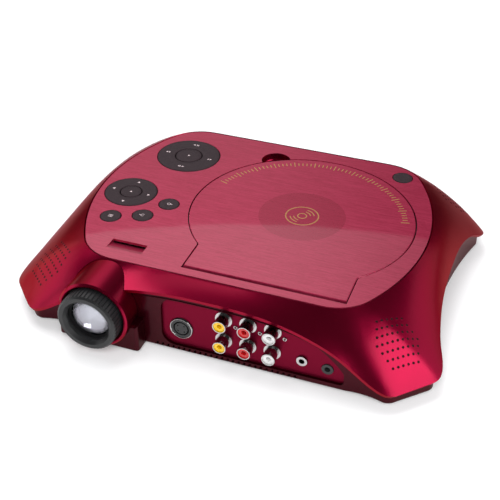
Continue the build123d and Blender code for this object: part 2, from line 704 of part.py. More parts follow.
def make_lid():
    lid = slab(lid_face(0, 0), (LID_UNDER, DECK_HEIGHT))
    lid = fillet(lid.edges().group_by(Axis.Z)[-1], LID_EDGE)
    rim = post(LID_X, LID_Y, (LID_UNDER - LID_RIM_HEIGHT, LID_UNDER), LID_RADIUS - 1)
    rim -= post(LID_X, LID_Y, (0, DECK_HEIGHT), LID_RADIUS - 1 - LID_RIM_WIDTH)
    lid += rim
    for x in hinge_sides(HINGE_EAR_INNER, HINGE_EAR_WIDTH):
        ear = shaft_x(x, HINGE_Y, HINGE_Z, HINGE_EAR_RADIUS)
        ear += block(x, (HINGE_Y - HINGE_EAR_RADIUS, HINGE_Y + HINGE_EAR_RADIUS), (HINGE_Z, LID_UNDER))
        lid += ear
        lid -= shaft_x(x, HINGE_Y, HINGE_Z, HINGE_PIN_RADIUS)
    y = LID_Y + LID_RADIUS - 1 - LID_RIM_WIDTH - CATCH_DEPTH
    hook = block((LID_X - CATCH_WIDTH / 2, LID_X + CATCH_WIDTH / 2), (y, y + CATCH_DEPTH),
                 (LID_UNDER - CATCH_DROP, LID_UNDER))
    nose = block((LID_X - CATCH_WIDTH / 2, LID_X + CATCH_WIDTH / 2), (y, y + CATCH_DEPTH + CATCH_NOSE),
                 (LID_UNDER - CATCH_DROP, LID_UNDER - CATCH_DROP + CATCH_NOSE))
    lid += hook + nose
    return lid


def make_hinge_pins():
    pins = []
    width = HINGE_EAR_WIDTH + HINGE_SIDE_PLAY + HINGE_BRACKET_WIDTH + 2 * HINGE_PIN_END
    for x in hinge_sides(HINGE_EAR_INNER - HINGE_PIN_END, width):
        pins.append(shaft_x(x, HINGE_Y, HINGE_Z, HINGE_PIN_RADIUS))
    return Compound(pins)


def make_disc_well():
    """The bowl under the lid, with its rim, hinge brackets and windows for the drive."""
    flange_bottom = WELL_SEAT - WELL_WALL
    grow = LID_GAP + WELL_RIM_WIDTH
    well = slab(lid_face(grow, HINGE_GAP + WELL_RIM_WIDTH), (flange_bottom, PANEL_UNDER))
    lid_room = slab(lid_face(LID_GAP, HINGE_GAP), (WELL_SEAT, DECK_HEIGHT))
    well -= lid_room
    well = well & slab(deck_face(LEDGE_WIDTH + SEAM), (0, DECK_HEIGHT))
    well += post(LID_X, LID_Y, (WELL_UNDER, flange_bottom + 0.1), WELL_RADIUS + WELL_WALL)
    well -= post(LID_X, LID_Y, (WELL_FLOOR, DECK_HEIGHT), WELL_RADIUS)
    well -= post(LID_X, LID_Y, (0, DECK_HEIGHT), HUB_HOLE)
    window = block((LID_X - SLOT_HALF, LID_X + SLOT_HALF), (LID_Y + SLOT_NEAR, LID_Y + SLOT_FAR), (0, WELL_FLOOR + 1))
    well -= window
    room_half = TAB_HALF + LID_GAP
    room_rear = HINGE_Y + HINGE_EAR_RADIUS + 2 * SEAM
    well -= block((LID_X - room_half, LID_X + room_half), (HINGE_Y - HINGE_SWING, room_rear), (0, DECK_HEIGHT))
    bracket_radius = HINGE_EAR_RADIUS - SEAM
    for x in hinge_sides(HINGE_EAR_INNER + HINGE_EAR_WIDTH + HINGE_SIDE_PLAY, HINGE_BRACKET_WIDTH):
        bracket = shaft_x(x, HINGE_Y, HINGE_Z, bracket_radius)
        bracket += block(x, (HINGE_Y, room_rear + WELL_WALL), (HINGE_Z - bracket_radius, WELL_SEAT))
        well += bracket
        well -= shaft_x(x, HINGE_Y, HINGE_Z, HINGE_PIN_RADIUS + RUNNING)
    y = LID_Y + LID_RADIUS - 1 - LID_RIM_WIDTH - CATCH_DEPTH
    catch_half = CATCH_WIDTH / 2 + CATCH_PLAY
    well -= block((LID_X - catch_half, LID_X + catch_half), (y - CATCH_PLAY, y + CATCH_DEPTH + CATCH_NOSE + CATCH_PLAY),
                  (0, DECK_HEIGHT))
    turn = radians(NOTCH_ANGLE)
    reach = LID_RADIUS + LID_GAP
    scoop_x = LID_X + reach * cos(turn)
    scoop_y = LID_Y + reach * sin(turn)
    low = DECK_HEIGHT - NOTCH_DEPTH
    cup = post(scoop_x, scoop_y, (low - WELL_WALL, PANEL_UNDER), NOTCH_RADIUS + WELL_WALL)
    cup -= post(LID_X, LID_Y, (0, DECK_HEIGHT), WELL_RADIUS + WELL_WALL / 2)
    well += cup - lid_room
    well -= post(scoop_x, scoop_y, (low, DECK_HEIGHT), NOTCH_RADIUS)
    return well


# ------------------------------------------------------------------ disc drive
def make_chassis():
    z = (CHASSIS_TOP - CHASSIS_THICKNESS, CHASSIS_TOP)
    plate = block((LID_X - CHASSIS_HALF_WIDTH, LID_X + CHASSIS_HALF_WIDTH),
                  (LID_Y + CHASSIS_FRONT, LID_Y + CHASSIS_REAR), z)
    plate = fillet(plate.edges().filter_by(Axis.Z), CHASSIS_CORNER)
    for x in (-1, 1):
        for y in (CHASSIS_FRONT + CHASSIS_CORNER, CHASSIS_POST_REAR):
            plate += post(LID_X + x * (CHASSIS_HALF_WIDTH - CHASSIS_CORNER), LID_Y + y,
                          (CHASSIS_TOP, WELL_UNDER), CHASSIS_POST_RADIUS)
        for y in (ROD_NEAR, ROD_FAR - ROD_HOLDER):
            rod_x = LID_X + x * ROD_SPACING
            half = ROD_RADIUS + 1.4
            plate += block((rod_x - half, rod_x + half), (LID_Y + y, LID_Y + y + ROD_HOLDER),
                           (CHASSIS_TOP, ROD_LEVEL + half))
            plate -= shaft_y(rod_x, (LID_Y + y, LID_Y + y + ROD_HOLDER), ROD_LEVEL, ROD_RADIUS)
    return plate


def make_guide_rods():
    return Compound([shaft_y(LID_X + x * ROD_SPACING, (LID_Y + ROD_NEAR, LID_Y + ROD_FAR), ROD_LEVEL, ROD_RADIUS)
                     for x in (-1, 1)])


def make_spindle_motor():
    low = CHASSIS_TOP
    motor = post(LID_X, LID_Y, (low, low + MOTOR_HEIGHT), MOTOR_RADIUS)
    motor = chamfer(motor.edges().sort_by(Axis.Z)[-1:], 0.8)
    return motor - post(LID_X, LID_Y, (0, DECK_HEIGHT), SHAFT_RADIUS + RUNNING)


def make_turntable():
    low = WELL_FLOOR + TURNTABLE_LIFT
    table = post(LID_X, LID_Y, (low, low + TURNTABLE_THICKNESS), TURNTABLE_RADIUS)
    hub = post(LID_X, LID_Y, (low, low + TURNTABLE_THICKNESS + HUB_HEIGHT), HUB_RADIUS)
    hub = chamfer(hub.edges().sort_by(Axis.Z)[-1:], HUB_CHAMFER)
    return table + hub + post(LID_X, LID_Y, (CHASSIS_TOP + 0.5, low), SHAFT_RADIUS)


def make_pickup_sled():
    half = ROD_SPACING + ROD_RADIUS + 1.6
    y = (LID_Y + SLED_START - SLED_LENGTH / 2, LID_Y + SLED_START + SLED_LENGTH / 2)
    z = (ROD_LEVEL - SLED_HEIGHT / 2, ROD_LEVEL + SLED_HEIGHT / 2)
    sled = block((LID_X - half, LID_X + half), y, z)
    sled = fillet(sled.edges().filter_by(Axis.Z), SLED_CORNER)
    for x in (-1, 1):
        sled -= shaft_y(LID_X + x * ROD_SPACING, y, ROD_LEVEL, ROD_RADIUS + RUNNING)
    optic_top = WELL_UNDER + OPTIC_RISE
    sled += post(LID_X, LID_Y + SLED_START, (z[1] - 1, optic_top), OPTIC_RADIUS)
    sled -= post(LID_X, LID_Y + SLED_START, (optic_top - 0.8, DECK_HEIGHT), PICKUP_LENS_RADIUS)
    return sled


def make_pickup_lens():
    optic_top = WELL_UNDER + OPTIC_RISE
    lens = post(LID_X, LID_Y + SLED_START, (optic_top - 0.8, optic_top + 0.3), PICKUP_LENS_RADIUS)
    return chamfer(lens.edges().sort_by(Axis.Z)[-1:], PICKUP_LENS_EDGE)


# ------------------------------------------------------------------ keys
def key_cap(x, y, radius, bore):
    """A round key or ring key with a soft crown and a flange that keeps it under the deck."""
    flange_top = KEY_TOP - KEY_THICKNESS
    cap = post(x, y, (flange_top, KEY_TOP), radius)
    cap = chamfer(cap.edges().sort_by(Axis.Z)[-1:], KEY_EDGE)
    cap += post(x, y, (KEY_UNDER, flange_top), radius + KEY_FLANGE)
    if bore > 0:
        cap -= post(x, y, (0, KEY_TOP + 1), bore)
    return cap


def stub_blocks(centre, hole, turn, z):
    """Two bored blocks that a cradle's stubs turn in: along X, or along Y when turned."""
    near = hole + CRADLE_INSET + CRADLE_WIDTH + STUB_GAP
    far = near + STUB_BLOCK_LENGTH
    pair = block((-far, far), (-STUB_BLOCK_HALF, STUB_BLOCK_HALF), z)
    pair -= block((-near, near), (-STUB_BLOCK_HALF, STUB_BLOCK_HALF), z)
    pair -= shaft_x((-far, far), 0, ROCK_LEVEL, STUB_RADIUS + RUNNING)
    return Pos(centre[0], centre[1], 0) * Rot(0, 0, turn) * pair


def make_ring_key(centre, radius, bore):
    lugs = stub_blocks(centre, bore, 90, (ROCK_LEVEL - STUB_RADIUS - RUNNING - STUB_WALL, KEY_UNDER))
    return key_cap(centre[0], centre[1], radius, bore) + lugs


def make_button(x, y, radius):
    return key_cap(x, y, radius, 0) + post(x, y, (STEM_LOW, KEY_UNDER), KEY_STEM_RADIUS)


def make_centre_button(centre, hole):
    cap = post(centre[0], centre[1], (KEY_UNDER, KEY_TOP), hole - KEY_GAP)
    cap = chamfer(cap.edges().sort_by(Axis.Z)[-1:], KEY_EDGE)
    return cap + post(centre[0], centre[1], (STEM_LOW, KEY_UNDER), KEY_STEM_RADIUS)


def make_cradle(centre, hole):
    """The rocking ring between the key board, which holds its X stubs, and the ring key on its Y stubs."""
    z = (BOARD_TOP + CRADLE_PLAY, KEY_UNDER - CRADLE_PLAY)
    inner = hole + CRADLE_INSET
    outer = inner + CRADLE_WIDTH
    reach = outer + STUB_GAP + STUB_BLOCK_LENGTH
    stubs = shaft_x((-reach, reach), 0, ROCK_LEVEL, STUB_RADIUS)
    stubs += shaft_y(0, (-reach, reach), ROCK_LEVEL, STUB_RADIUS)
    stubs -= post(0, 0, z, inner + CRADLE_WIDTH / 2)
    return Pos(centre[0], centre[1], 0) * (tube_z(0, 0, z, outer, inner) + stubs)


def board_outline_left():
    return block((-104.0, -50.0), (-52.0, 72.0), (0, DECK_HEIGHT))


def make_key_board():
    """The board under the keys at the left, and the small one under the power key."""
    board = slab(deck_face(KEY_BOARD_INSET), (BOARD_TOP - KEY_BOARD_THICKNESS, BOARD_TOP)) & board_outline_left()
    board -= post(LID_X, LID_Y, (0, DECK_HEIGHT), LID_RADIUS + 6)
    for centre, hole in ((RING_A, RING_A_HOLE), (RING_B, RING_B_HOLE)):
        board += stub_blocks(centre, hole, 0, (BOARD_TOP, ROCK_LEVEL + STUB_RADIUS + RUNNING + STUB_WALL))
    x, y = SMALL_KEYS[3][1:]
    half = SMALL_KEY_RADIUS + KEY_FLANGE
    power = block((x - half, x + half), (y - half, y + half), (BOARD_TOP - KEY_BOARD_THICKNESS, BOARD_TOP))
    return Compound([board, power])


def key_dome(x, y):
    base = (Align.CENTER, Align.CENTER, Align.MIN)
    return Pos(x, y, BOARD_TOP) * Cone(DOME_RADIUS, KEY_STEM_RADIUS, DOME_HEIGHT, align=base)


def make_domes():
    domes = []
    for (cx, cy), hole, radius in ((RING_A, RING_A_HOLE, RING_A_RADIUS), (RING_B, RING_B_HOLE, RING_B_RADIUS)):
        domes.append(key_dome(cx, cy))
    for name, x, y in SMALL_KEYS:
        domes.append(key_dome(x, y))
    return Compound(domes)


# ------------------------------------------------------------------ card socket
def make_card_socket():
    floor = DECK_HEIGHT - POCKET_DEPTH
    y = (POCKET_Y[1], POCKET_Y[1] + CARD_SOCKET_LENGTH)
    x = (POCKET_X[0] - POCKET_WALL, POCKET_X[1] + POCKET_WALL)
    socket = block(x, y, (floor - POCKET_WALL, PANEL_UNDER))
    return socket - block(POCKET_X, (y[0], y[1] - POCKET_WALL), (floor, floor + CARD_SLOT_HEIGHT - 0.4))


# ------------------------------------------------------------------ projection lens
def lathe(profile):
    """A ring about the lens axis from (radius, y) points."""
    face = make_face(Polyline(*[(r, y) for r, y in profile], close=True))
    ring = revolve(face, Axis.Y)
    return Pos(LENS_X, 0, LENS_Z) * ring


def make_lens_hood():
    inner = HOOD_RADIUS - HOOD_WALL
    e = HOOD_EDGE
    hood = lathe([(HOOD_RADIUS, HOOD_BACK), (HOOD_RADIUS, HOOD_FRONT + e), (HOOD_RADIUS - e, HOOD_FRONT),
                  (inner + e, HOOD_FRONT), (inner, HOOD_FRONT + e), (inner, HOOD_BACK)])
    return hood


def make_focus_ring():
    inner = BARREL_RADIUS + RUNNING
    ring = lathe([(RING_RADIUS, RING_BACK), (RING_RADIUS, RING_FRONT + 1.2), (RING_RADIUS - 1.2, RING_FRONT),
                  (RING_MOUTH + 1.6, RING_FRONT), (RING_MOUTH, RING_FRONT + 2.2), (RING_MOUTH, BARREL_FRONT - SEAM),
                  (inner, BARREL_FRONT - SEAM), (inner, RING_BACK)])
    cutters = []
    for i in range(KNURL_COUNT):
        cutter = Rot(0, 360 / KNURL_COUNT * i, 0) * Pos(RING_RADIUS, (RING_FRONT + RING_BACK) / 2, 0)
        cutters.append(cutter * Rot(0, 45, 0) * Box(KNURL_DEPTH, RING_BACK - RING_FRONT + 2, KNURL_DEPTH))
    return ring - [Pos(LENS_X, 0, LENS_Z) * c for c in cutters]


def make_lens_barrel():
    inner = BARREL_RADIUS - BARREL_WALL
    flange = (RING_BACK + SEAM, RING_BACK + SEAM + BARREL_FLANGE_THICKNESS)
    reach = HOOD_RADIUS - HOOD_WALL
    return lathe([(inner, BARREL_FRONT), (BARREL_RADIUS, BARREL_FRONT), (BARREL_RADIUS, flange[0]),
                  (reach, flange[0]), (reach, flange[1]), (BARREL_RADIUS, flange[1]),
                  (BARREL_RADIUS, BARREL_BACK), (inner, BARREL_BACK)])


def make_lens_cell():
    outer = BARREL_RADIUS - BARREL_WALL - RUNNING
    seat = GLASS_RADIUS - GLASS_SEAT
    return lathe([(outer, CELL_FRONT), (outer, CELL_BACK), (seat, CELL_BACK), (seat, CELL_FRONT + GLASS_EDGE),
                  (GLASS_RADIUS, CELL_FRONT + GLASS_EDGE), (GLASS_RADIUS, CELL_FRONT)])


def crowned_glass(radius, flat, edge, crown):
    """A plano-convex lens on the lens axis: its edge and then its crown lead away from the flat face."""
    rim = flat + edge
    tip = rim + crown
    outline = [ThreePointArc((0, tip), (radius * 0.5, rim + crown * 0.75), (radius, rim)),
               Line((radius, rim), (radius, flat)),
               Line((radius, flat), (0, flat)),
               Line((0, flat), (0, tip))]
    glass = revolve(make_face(Wire(outline)), Axis.Y)
    return Pos(LENS_X, 0, LENS_Z) * glass


def make_front_glass():
    return crowned_glass(GLASS_RADIUS, CELL_FRONT + GLASS_EDGE, -GLASS_EDGE, -FRONT_GLASS_CROWN)


def make_rear_glass():
    flat = CELL_BACK - GLASS_EDGE - REAR_GLASS_CROWN
    return crowned_glass(GLASS_RADIUS - GLASS_SEAT, flat, GLASS_EDGE, REAR_GLASS_CROWN)


# ------------------------------------------------------------------ light engine
def make_lcd_frame():
    x = (LENS_X - LCD_WIDTH / 2, LENS_X + LCD_WIDTH / 2)
    y = (LCD_Y, LCD_Y + LCD_THICKNESS)
    frame = block(x, y, (INNER_FLOOR, LENS_Z + LCD_HEIGHT / 2))
    window = block((LENS_X - LCD_WINDOW_WIDTH / 2, LENS_X + LCD_WINDOW_WIDTH / 2), y,
                   (LENS_Z - LCD_WINDOW_HEIGHT / 2, LENS_Z + LCD_WINDOW_HEIGHT / 2))
    return frame - window


def make_lcd_panel():
    x = (LENS_X - LCD_WINDOW_WIDTH / 2, LENS_X + LCD_WINDOW_WIDTH / 2)
    middle = LCD_Y + LCD_THICKNESS / 2
    return block(x, (middle - 0.6, middle + 0.6), (LENS_Z - LCD_WINDOW_HEIGHT / 2, LENS_Z + LCD_WINDOW_HEIGHT / 2))


def upright_holder(y, radius, wall):
    """A stand on the floor with a round seat for one piece of the light path."""
    width = radius + wall
    stand = block((LENS_X - width, LENS_X + width), y, (INNER_FLOOR, LENS_Z))
    stand += shaft_y(LENS_X, y, LENS_Z, width)
    return stand - shaft_y(LENS_X, y, LENS_Z, radius)


def make_condenser():
    return crowned_glass(CONDENSER_RADIUS, CONDENSER_Y + CONDENSER_EDGE, -CONDENSER_EDGE, -CONDENSER_CROWN)


def make_condenser_stand():
    return upright_holder((CONDENSER_Y, CONDENSER_Y + CONDENSER_EDGE), CONDENSER_RADIUS, CRADLE_FOOT_WALL)


def make_reflector():
    depth = REFLECTOR_DEPTH
    outer = [(REFLECTOR_MOUTH, REFLECTOR_FRONT)]
    bend = (REFLECTOR_MOUTH * 0.78, REFLECTOR_FRONT + depth * 0.6)
    neck = (REFLECTOR_NECK, REFLECTOR_FRONT + depth)
    wall = REFLECTOR_WALL
    edges = [ThreePointArc(outer[0], bend, neck),
             Line(neck, (neck[0] - wall, neck[1])),
             ThreePointArc((neck[0] - wall, neck[1]), (bend[0] - wall, bend[1] - wall),
                           (REFLECTOR_MOUTH - wall, REFLECTOR_FRONT)),
             Line((REFLECTOR_MOUTH - wall, REFLECTOR_FRONT), outer[0])]
    return Pos(LENS_X, 0, LENS_Z) * revolve(make_face(Wire(edges)), Axis.Y)


def make_reflector_stand():
    y = (REFLECTOR_FRONT - CRADLE_FOOT_WALL, REFLECTOR_FRONT)
    return upright_holder(y, REFLECTOR_MOUTH - REFLECTOR_WALL, CRADLE_FOOT_WALL)


def make_lamp():
    start = REFLECTOR_FRONT + REFLECTOR_DEPTH - LAMP_LENGTH
    bulb = shaft_y(LENS_X, (start, REFLECTOR_FRONT + REFLECTOR_DEPTH), LENS_Z, LAMP_RADIUS)
    return chamfer(bulb.edges().sort_by(Axis.Y)[:1], LAMP_RADIUS / 2)


def make_lamp_socket():
    start = REFLECTOR_FRONT + REFLECTOR_DEPTH
    socket = shaft_y(LENS_X, (start, start + LAMP_SOCKET_LENGTH), LENS_Z, LAMP_SOCKET_RADIUS)
    leg = block((LENS_X - LAMP_SOCKET_RADIUS, LENS_X + LAMP_SOCKET_RADIUS), (start + 2, start + LAMP_SOCKET_LENGTH - 2),
                (INNER_FLOOR, LENS_Z))
    return socket + leg


def make_heat_sink():
    start = REFLECTOR_FRONT + REFLECTOR_DEPTH + LAMP_SOCKET_LENGTH
    half = (FIN_COUNT - 1) * FIN_PITCH / 2
    sink = block((LENS_X - half - FIN_THICKNESS / 2, LENS_X + half + FIN_THICKNESS / 2), (start, start + SINK_BASE),
                 (INNER_FLOOR, INNER_FLOOR + SINK_HEIGHT + 8))
    for i in range(FIN_COUNT):
        x = LENS_X - half + i * FIN_PITCH
        sink += block((x - FIN_THICKNESS / 2, x + FIN_THICKNESS / 2), (start + SINK_BASE - 0.1, start + SINK_DEPTH),
                      (INNER_FLOOR, INNER_FLOOR + SINK_HEIGHT + 8))
    return sink


# ------------------------------------------------------------------ fan
def make_fan_frame():
    half = FAN_SIZE / 2
    x = (FAN_X - FAN_DEPTH / 2, FAN_X + FAN_DEPTH / 2)
    frame = block(x, (FAN_Y - half, FAN_Y + half), (INNER_FLOOR, INNER_FLOOR + FAN_SIZE))
    frame = fillet(frame.edges().filter_by(Axis.X), 2.5)
    centre = INNER_FLOOR + half
    frame -= shaft_x(x, FAN_Y, centre, FAN_BORE)
    spokes = shaft_x((x[0], x[0] + 1.5), FAN_Y, centre, FAN_HUB)
    spokes += block((x[0], x[0] + 1.5), (FAN_Y - FAN_BORE, FAN_Y + FAN_BORE), (centre - 1, centre + 1))
    spokes += block((x[0], x[0] + 1.5), (FAN_Y - 1, FAN_Y + 1), (centre - FAN_BORE, centre + FAN_BORE))
    frame += spokes
    frame += shaft_x((x[0] + 1.5, x[1] - 2), FAN_Y, centre, SHAFT_RADIUS)
    return frame


def make_fan_rotor():
    half = FAN_SIZE / 2
    x = (FAN_X - FAN_DEPTH / 2 + 1.8, FAN_X + FAN_DEPTH / 2 - 0.5)
    centre = INNER_FLOOR + half
    rotor = shaft_x(x, FAN_Y, centre, FAN_HUB)
    middle = (x[0] + x[1]) / 2
    for i in range(FAN_BLADES):
        reach = FAN_BLADE_TIP - FAN_HUB + 0.6
        blade = Pos(0, 0, FAN_HUB + reach / 2 - 0.6) * Rot(0, 0, FAN_BLADE_PITCH) * Box(x[1] - x[0], FAN_BLADE_THICKNESS, reach)
        rotor += Pos(middle, FAN_Y, centre) * Rot(360 / FAN_BLADES * i, 0, 0) * blade
    rotor -= shaft_x((x[0] - 1, FAN_X + FAN_DEPTH / 2 - 2 + SEAM), FAN_Y, centre, SHAFT_RADIUS + RUNNING)
    return rotor


# ------------------------------------------------------------------ connectors
JACK_FACE = -BASE_FRONT + LOWER_WALL
RCA_PLACES = [(RCA_X + i * RCA_PITCH_X, z) for i in range(3) for z in RCA_ROWS]


def make_jack_panel():
    plate = wall_plate(recess_face(JACK_PANEL_MARGIN), (JACK_FACE, JACK_FACE + JACK_PANEL_THICKNESS))
    holes = [(x, z, RCA_RADIUS) for x, z in RCA_PLACES]
    holes += [(DIN_X, DIN_Z, DIN_RADIUS), (PHONE_X, PHONE_Z, PHONE_RADIUS), (AV_X, AV_Z, AV_RADIUS)]
    for x, z, radius in holes:
        plate -= shaft_y(x, (JACK_FACE - 1, JACK_FACE + JACK_PANEL_THICKNESS + 1), z, radius + 0.2)
    return plate


def make_rca_shells():
    shells = []
    for x, z in RCA_PLACES:
        shell = tube_y(x, (RCA_FRONT, JACK_FACE + JACK_PANEL_THICKNESS), z, RCA_RADIUS, RCA_RADIUS - RCA_WALL)
        flange = (JACK_FACE - RCA_FLANGE_THICKNESS, JACK_FACE)
        shell += tube_y(x, flange, z, RCA_FLANGE_RADIUS, RCA_RADIUS - RCA_WALL)
        shells.append(shell)
    return Compound(shells)


def make_rca_insert(column):
    rings = []
    for z in RCA_ROWS:
        x = RCA_X + column * RCA_PITCH_X
        y = (RCA_FRONT + RCA_INSERT_RECESS, JACK_FACE + JACK_PANEL_THICKNESS)
        rings.append(tube_y(x, y, z, RCA_RADIUS - RCA_WALL, RCA_BORE))
    return Compound(rings)


def make_din_socket():
    y = (JACK_FACE - 0.8, JACK_FACE + JACK_PANEL_THICKNESS + 6)
    socket = shaft_y(DIN_X, y, DIN_Z, DIN_RADIUS)
    groove = tube_y(DIN_X, (y[0], y[0] + 5), DIN_Z, DIN_BORE, DIN_BORE - 1.0)
    socket -= groove
    for i in range(DIN_PINS):
        turn = 2 * pi * (i + 0.5) / DIN_PINS
        socket -= shaft_y(DIN_X + DIN_PIN_CIRCLE * cos(turn), (y[0], y[0] + 4), DIN_Z + DIN_PIN_CIRCLE * sin(turn),
                          DIN_PIN_RADIUS)
    return socket


def make_phone_jack():
    y = (JACK_FACE - 1.2, JACK_FACE + JACK_PANEL_THICKNESS)
    ring = tube_y(PHONE_X, y, PHONE_Z, PHONE_RADIUS, PHONE_BORE)
    body = block((PHONE_X - 4, PHONE_X + 4), (y[1], y[1] + JACK_BODY_DEPTH), (PHONE_Z - 4, PHONE_Z + 4))
    return ring + (body - shaft_y(PHONE_X, (y[1], y[1] + JACK_BODY_DEPTH - 1), PHONE_Z, PHONE_BORE))


def make_av_jack():
    y = (JACK_FACE - 0.6, JACK_FACE + JACK_PANEL_THICKNESS)
    ring = tube_y(AV_X, y, AV_Z, AV_RADIUS, PHONE_BORE)
    body = block((AV_X - 4, AV_X + 4), (y[1], y[1] + JACK_BODY_DEPTH), (AV_Z - 4, AV_Z + 4))
    return ring + (body - shaft_y(AV_X, (y[1], y[1] + JACK_BODY_DEPTH - 1), AV_Z, PHONE_BORE))


def make_jack_board():
    y = JACK_FACE + JACK_PANEL_THICKNESS
    return block((RCA_X - 6, RCA_X + 2 * RCA_PITCH_X + 6), (y, y + JACK_BODY_DEPTH), (RCA_ROWS[1] - 6, RCA_ROWS[0] + 5))


def make_power_inlet():
    y = (BASE_REAR - LOWER_WALL - INLET_DEPTH, BASE_REAR)
    body = block((INLET_X - INLET_BODY / 2, INLET_X + INLET_BODY / 2), (y[0], BASE_REAR - LOWER_WALL - SEAM),
                 (INLET_Z - INLET_BODY / 2, INLET_Z + INLET_BODY / 2))
    body += shaft_y(INLET_X, y, INLET_Z, INLET_RADIUS)
    body -= shaft_y(INLET_X, (y[0] + 1.5, y[1]), INLET_Z, INLET_BORE)
    return body + shaft_y(INLET_X, (y[0] + 1, y[1] - 1.5), INLET_Z, INLET_PIN)


# ------------------------------------------------------------------ boards, speakers, fasteners
def make_main_board():
    board = block(BOARD_X, BOARD_Y, (BOARD_LEVEL, BOARD_LEVEL + BOARD_THICKNESS))
    board = fillet(board.edges().filter_by(Axis.Z), 3)
    top = BOARD_LEVEL + BOARD_THICKNESS
    for x in (BOARD_X[0] + 6, BOARD_X[1] - 6):
        for y in (BOARD_Y[0] + 6, BOARD_Y[1] - 6):
            board += post(x, y, (INNER_FLOOR, BOARD_LEVEL), STANDOFF_RADIUS)
    for x, y, w, d, h in CHIPS:
        board += block((x - w / 2, x + w / 2), (y - d / 2, y + d / 2), (top, top + h))
    return board


def make_capacitors():
    top = BOARD_LEVEL + BOARD_THICKNESS
    return Compound([post(x, y, (top, top + CAPACITOR_HEIGHT), CAPACITOR_RADIUS) for x, y in CAPACITORS])


def make_speaker(side, end):
    """A small loudspeaker behind the grille of one foot, standing on the floor of the case."""
    x = side * SPEAKER_X
    y = end * SPEAKER_Y
    low = INNER_FLOOR
    basket = post(x, y, (low + SPEAKER_DEPTH, low + SPEAKER_DEPTH + 2), SPEAKER_RADIUS)
    cone = Pos(x, y, low + 5) * Cone(SPEAKER_MAGNET, SPEAKER_RADIUS - 1, SPEAKER_DEPTH - 5,
                                     align=(Align.CENTER, Align.CENTER, Align.MIN))
    magnet = post(x, y, (low, low + 5), SPEAKER_MAGNET)
    speaker = basket + cone + magnet
    dish = Pos(x, y, low + 6) * Cone(3, SPEAKER_RADIUS - 2.5, SPEAKER_DEPTH - 4,
                                     align=(Align.CENTER, Align.CENTER, Align.MIN))
    return speaker - dish


def make_screws():
    screws = []
    for x, y in SCREW_PLACES:
        head = post(x, y, (BASE_LEVEL + 0.2, BASE_LEVEL + SCREW_HEAD_HEIGHT), SCREW_HEAD_RADIUS)
        shank = post(x, y, (BASE_LEVEL + SCREW_HEAD_HEIGHT, SCREW_LENGTH + INNER_FLOOR - 1), SCREW_SHANK_RADIUS - 0.05)
        screws.append(head + shank)
    return Compound(screws)


def make_pads():
    return Compound([post(x * PAD_X, y * PAD_Y, (0, PAD_THICKNESS), PAD_RADIUS) for x in (-1, 1) for y in (-1, 1)])


# ------------------------------------------------------------------ the whole object
lower_band = wall_band()
parts["upper_shell"] = make_upper_shell()
parts["lower_shell"] = make_lower_shell()
parts["front_wall"] = make_front_wall(lower_band)
parts["side_walls"] = make_side_walls(lower_band)
parts["rear_wall"] = make_rear_wall(lower_band)
parts["deck_panel"] = make_deck_panel()
parts["rubber_feet"] = make_pads()
parts["case_screws"] = make_screws()
parts["disc_lid"] = make_lid()
parts["lid_hinge_pins"] = make_hinge_pins()
parts["disc_well"] = make_disc_well()
parts["drive_chassis"] = make_chassis()
parts["guide_rods"] = make_guide_rods()
parts["spindle_motor"] = make_spindle_motor()
parts["turntable"] = make_turntable()
parts["pickup_sled"] = make_pickup_sled()
parts["pickup_lens"] = make_pickup_lens()
parts["ring_key_large"] = make_ring_key(RING_A, RING_A_RADIUS, RING_A_HOLE)
parts["ring_key_small"] = make_ring_key(RING_B, RING_B_RADIUS, RING_B_HOLE)
parts["ring_cradle_large"] = make_cradle(RING_A, RING_A_HOLE)
parts["ring_cradle_small"] = make_cradle(RING_B, RING_B_HOLE)
parts["centre_button_large"] = make_centre_button(RING_A, RING_A_HOLE)
parts["centre_button_small"] = make_centre_button(RING_B, RING_B_HOLE)
for key_name, key_x, key_y in SMALL_KEYS:
    parts[key_name] = make_button(key_x, key_y, SMALL_KEY_RADIUS)
parts["key_board"] = make_key_board()
parts["key_domes"] = make_domes()
parts["card_socket"] = make_card_socket()
parts["lens_hood"] = make_lens_hood()
parts["focus_ring"] = make_focus_ring()
parts["lens_barrel"] = make_lens_barrel()
parts["lens_cell"] = make_lens_cell()
parts["front_glass"] = make_front_glass()
parts["rear_glass"] = make_rear_glass()
parts["lcd_frame"] = make_lcd_frame()
parts["lcd_panel"] = make_lcd_panel()
parts["condenser_lens"] = make_condenser()
parts["lamp_reflector"] = make_reflector()
parts["light_stands"] = Compound([make_condenser_stand(), make_reflector_stand()])
parts["lamp"] = make_lamp()
parts["lamp_socket"] = make_lamp_socket()
parts["heat_sink"] = make_heat_sink()
parts["fan_frame"] = make_fan_frame()
parts["fan_rotor"] = make_fan_rotor()
parts["jack_panel"] = make_jack_panel()
parts["rca_shells"] = make_rca_shells()
parts["rca_inserts_yellow"] = make_rca_insert(0)
parts["rca_inserts_red"] = make_rca_insert(1)
parts["rca_inserts_white"] = make_rca_insert(2)
parts["din_socket"] = make_din_socket()
parts["phone_jack"] = make_phone_jack()
parts["av_jack"] = make_av_jack()
parts["jack_board"] = make_jack_board()
parts["power_inlet"] = make_power_inlet()
parts["main_board"] = make_main_board()
parts["board_capacitors"] = make_capacitors()
parts["speakers"] = Compound([make_speaker(-1, -1), make_speaker(1, -1)])

whole = Compound(list(parts.values())).bounding_box()
SHIFT = Vector(-(whole.min.X + whole.max.X) / 2, -(whole.min.Y + whole.max.Y) / 2, -whole.min.Z)
print("moved by", SHIFT)
for name, piece in parts.items():
    export_step(Pos(SHIFT) * piece, f"parts/{name}.step")
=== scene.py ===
import math

import bmesh
import bpy
from mathutils import Matrix, Vector
from mathutils.bvhtree import BVHTree


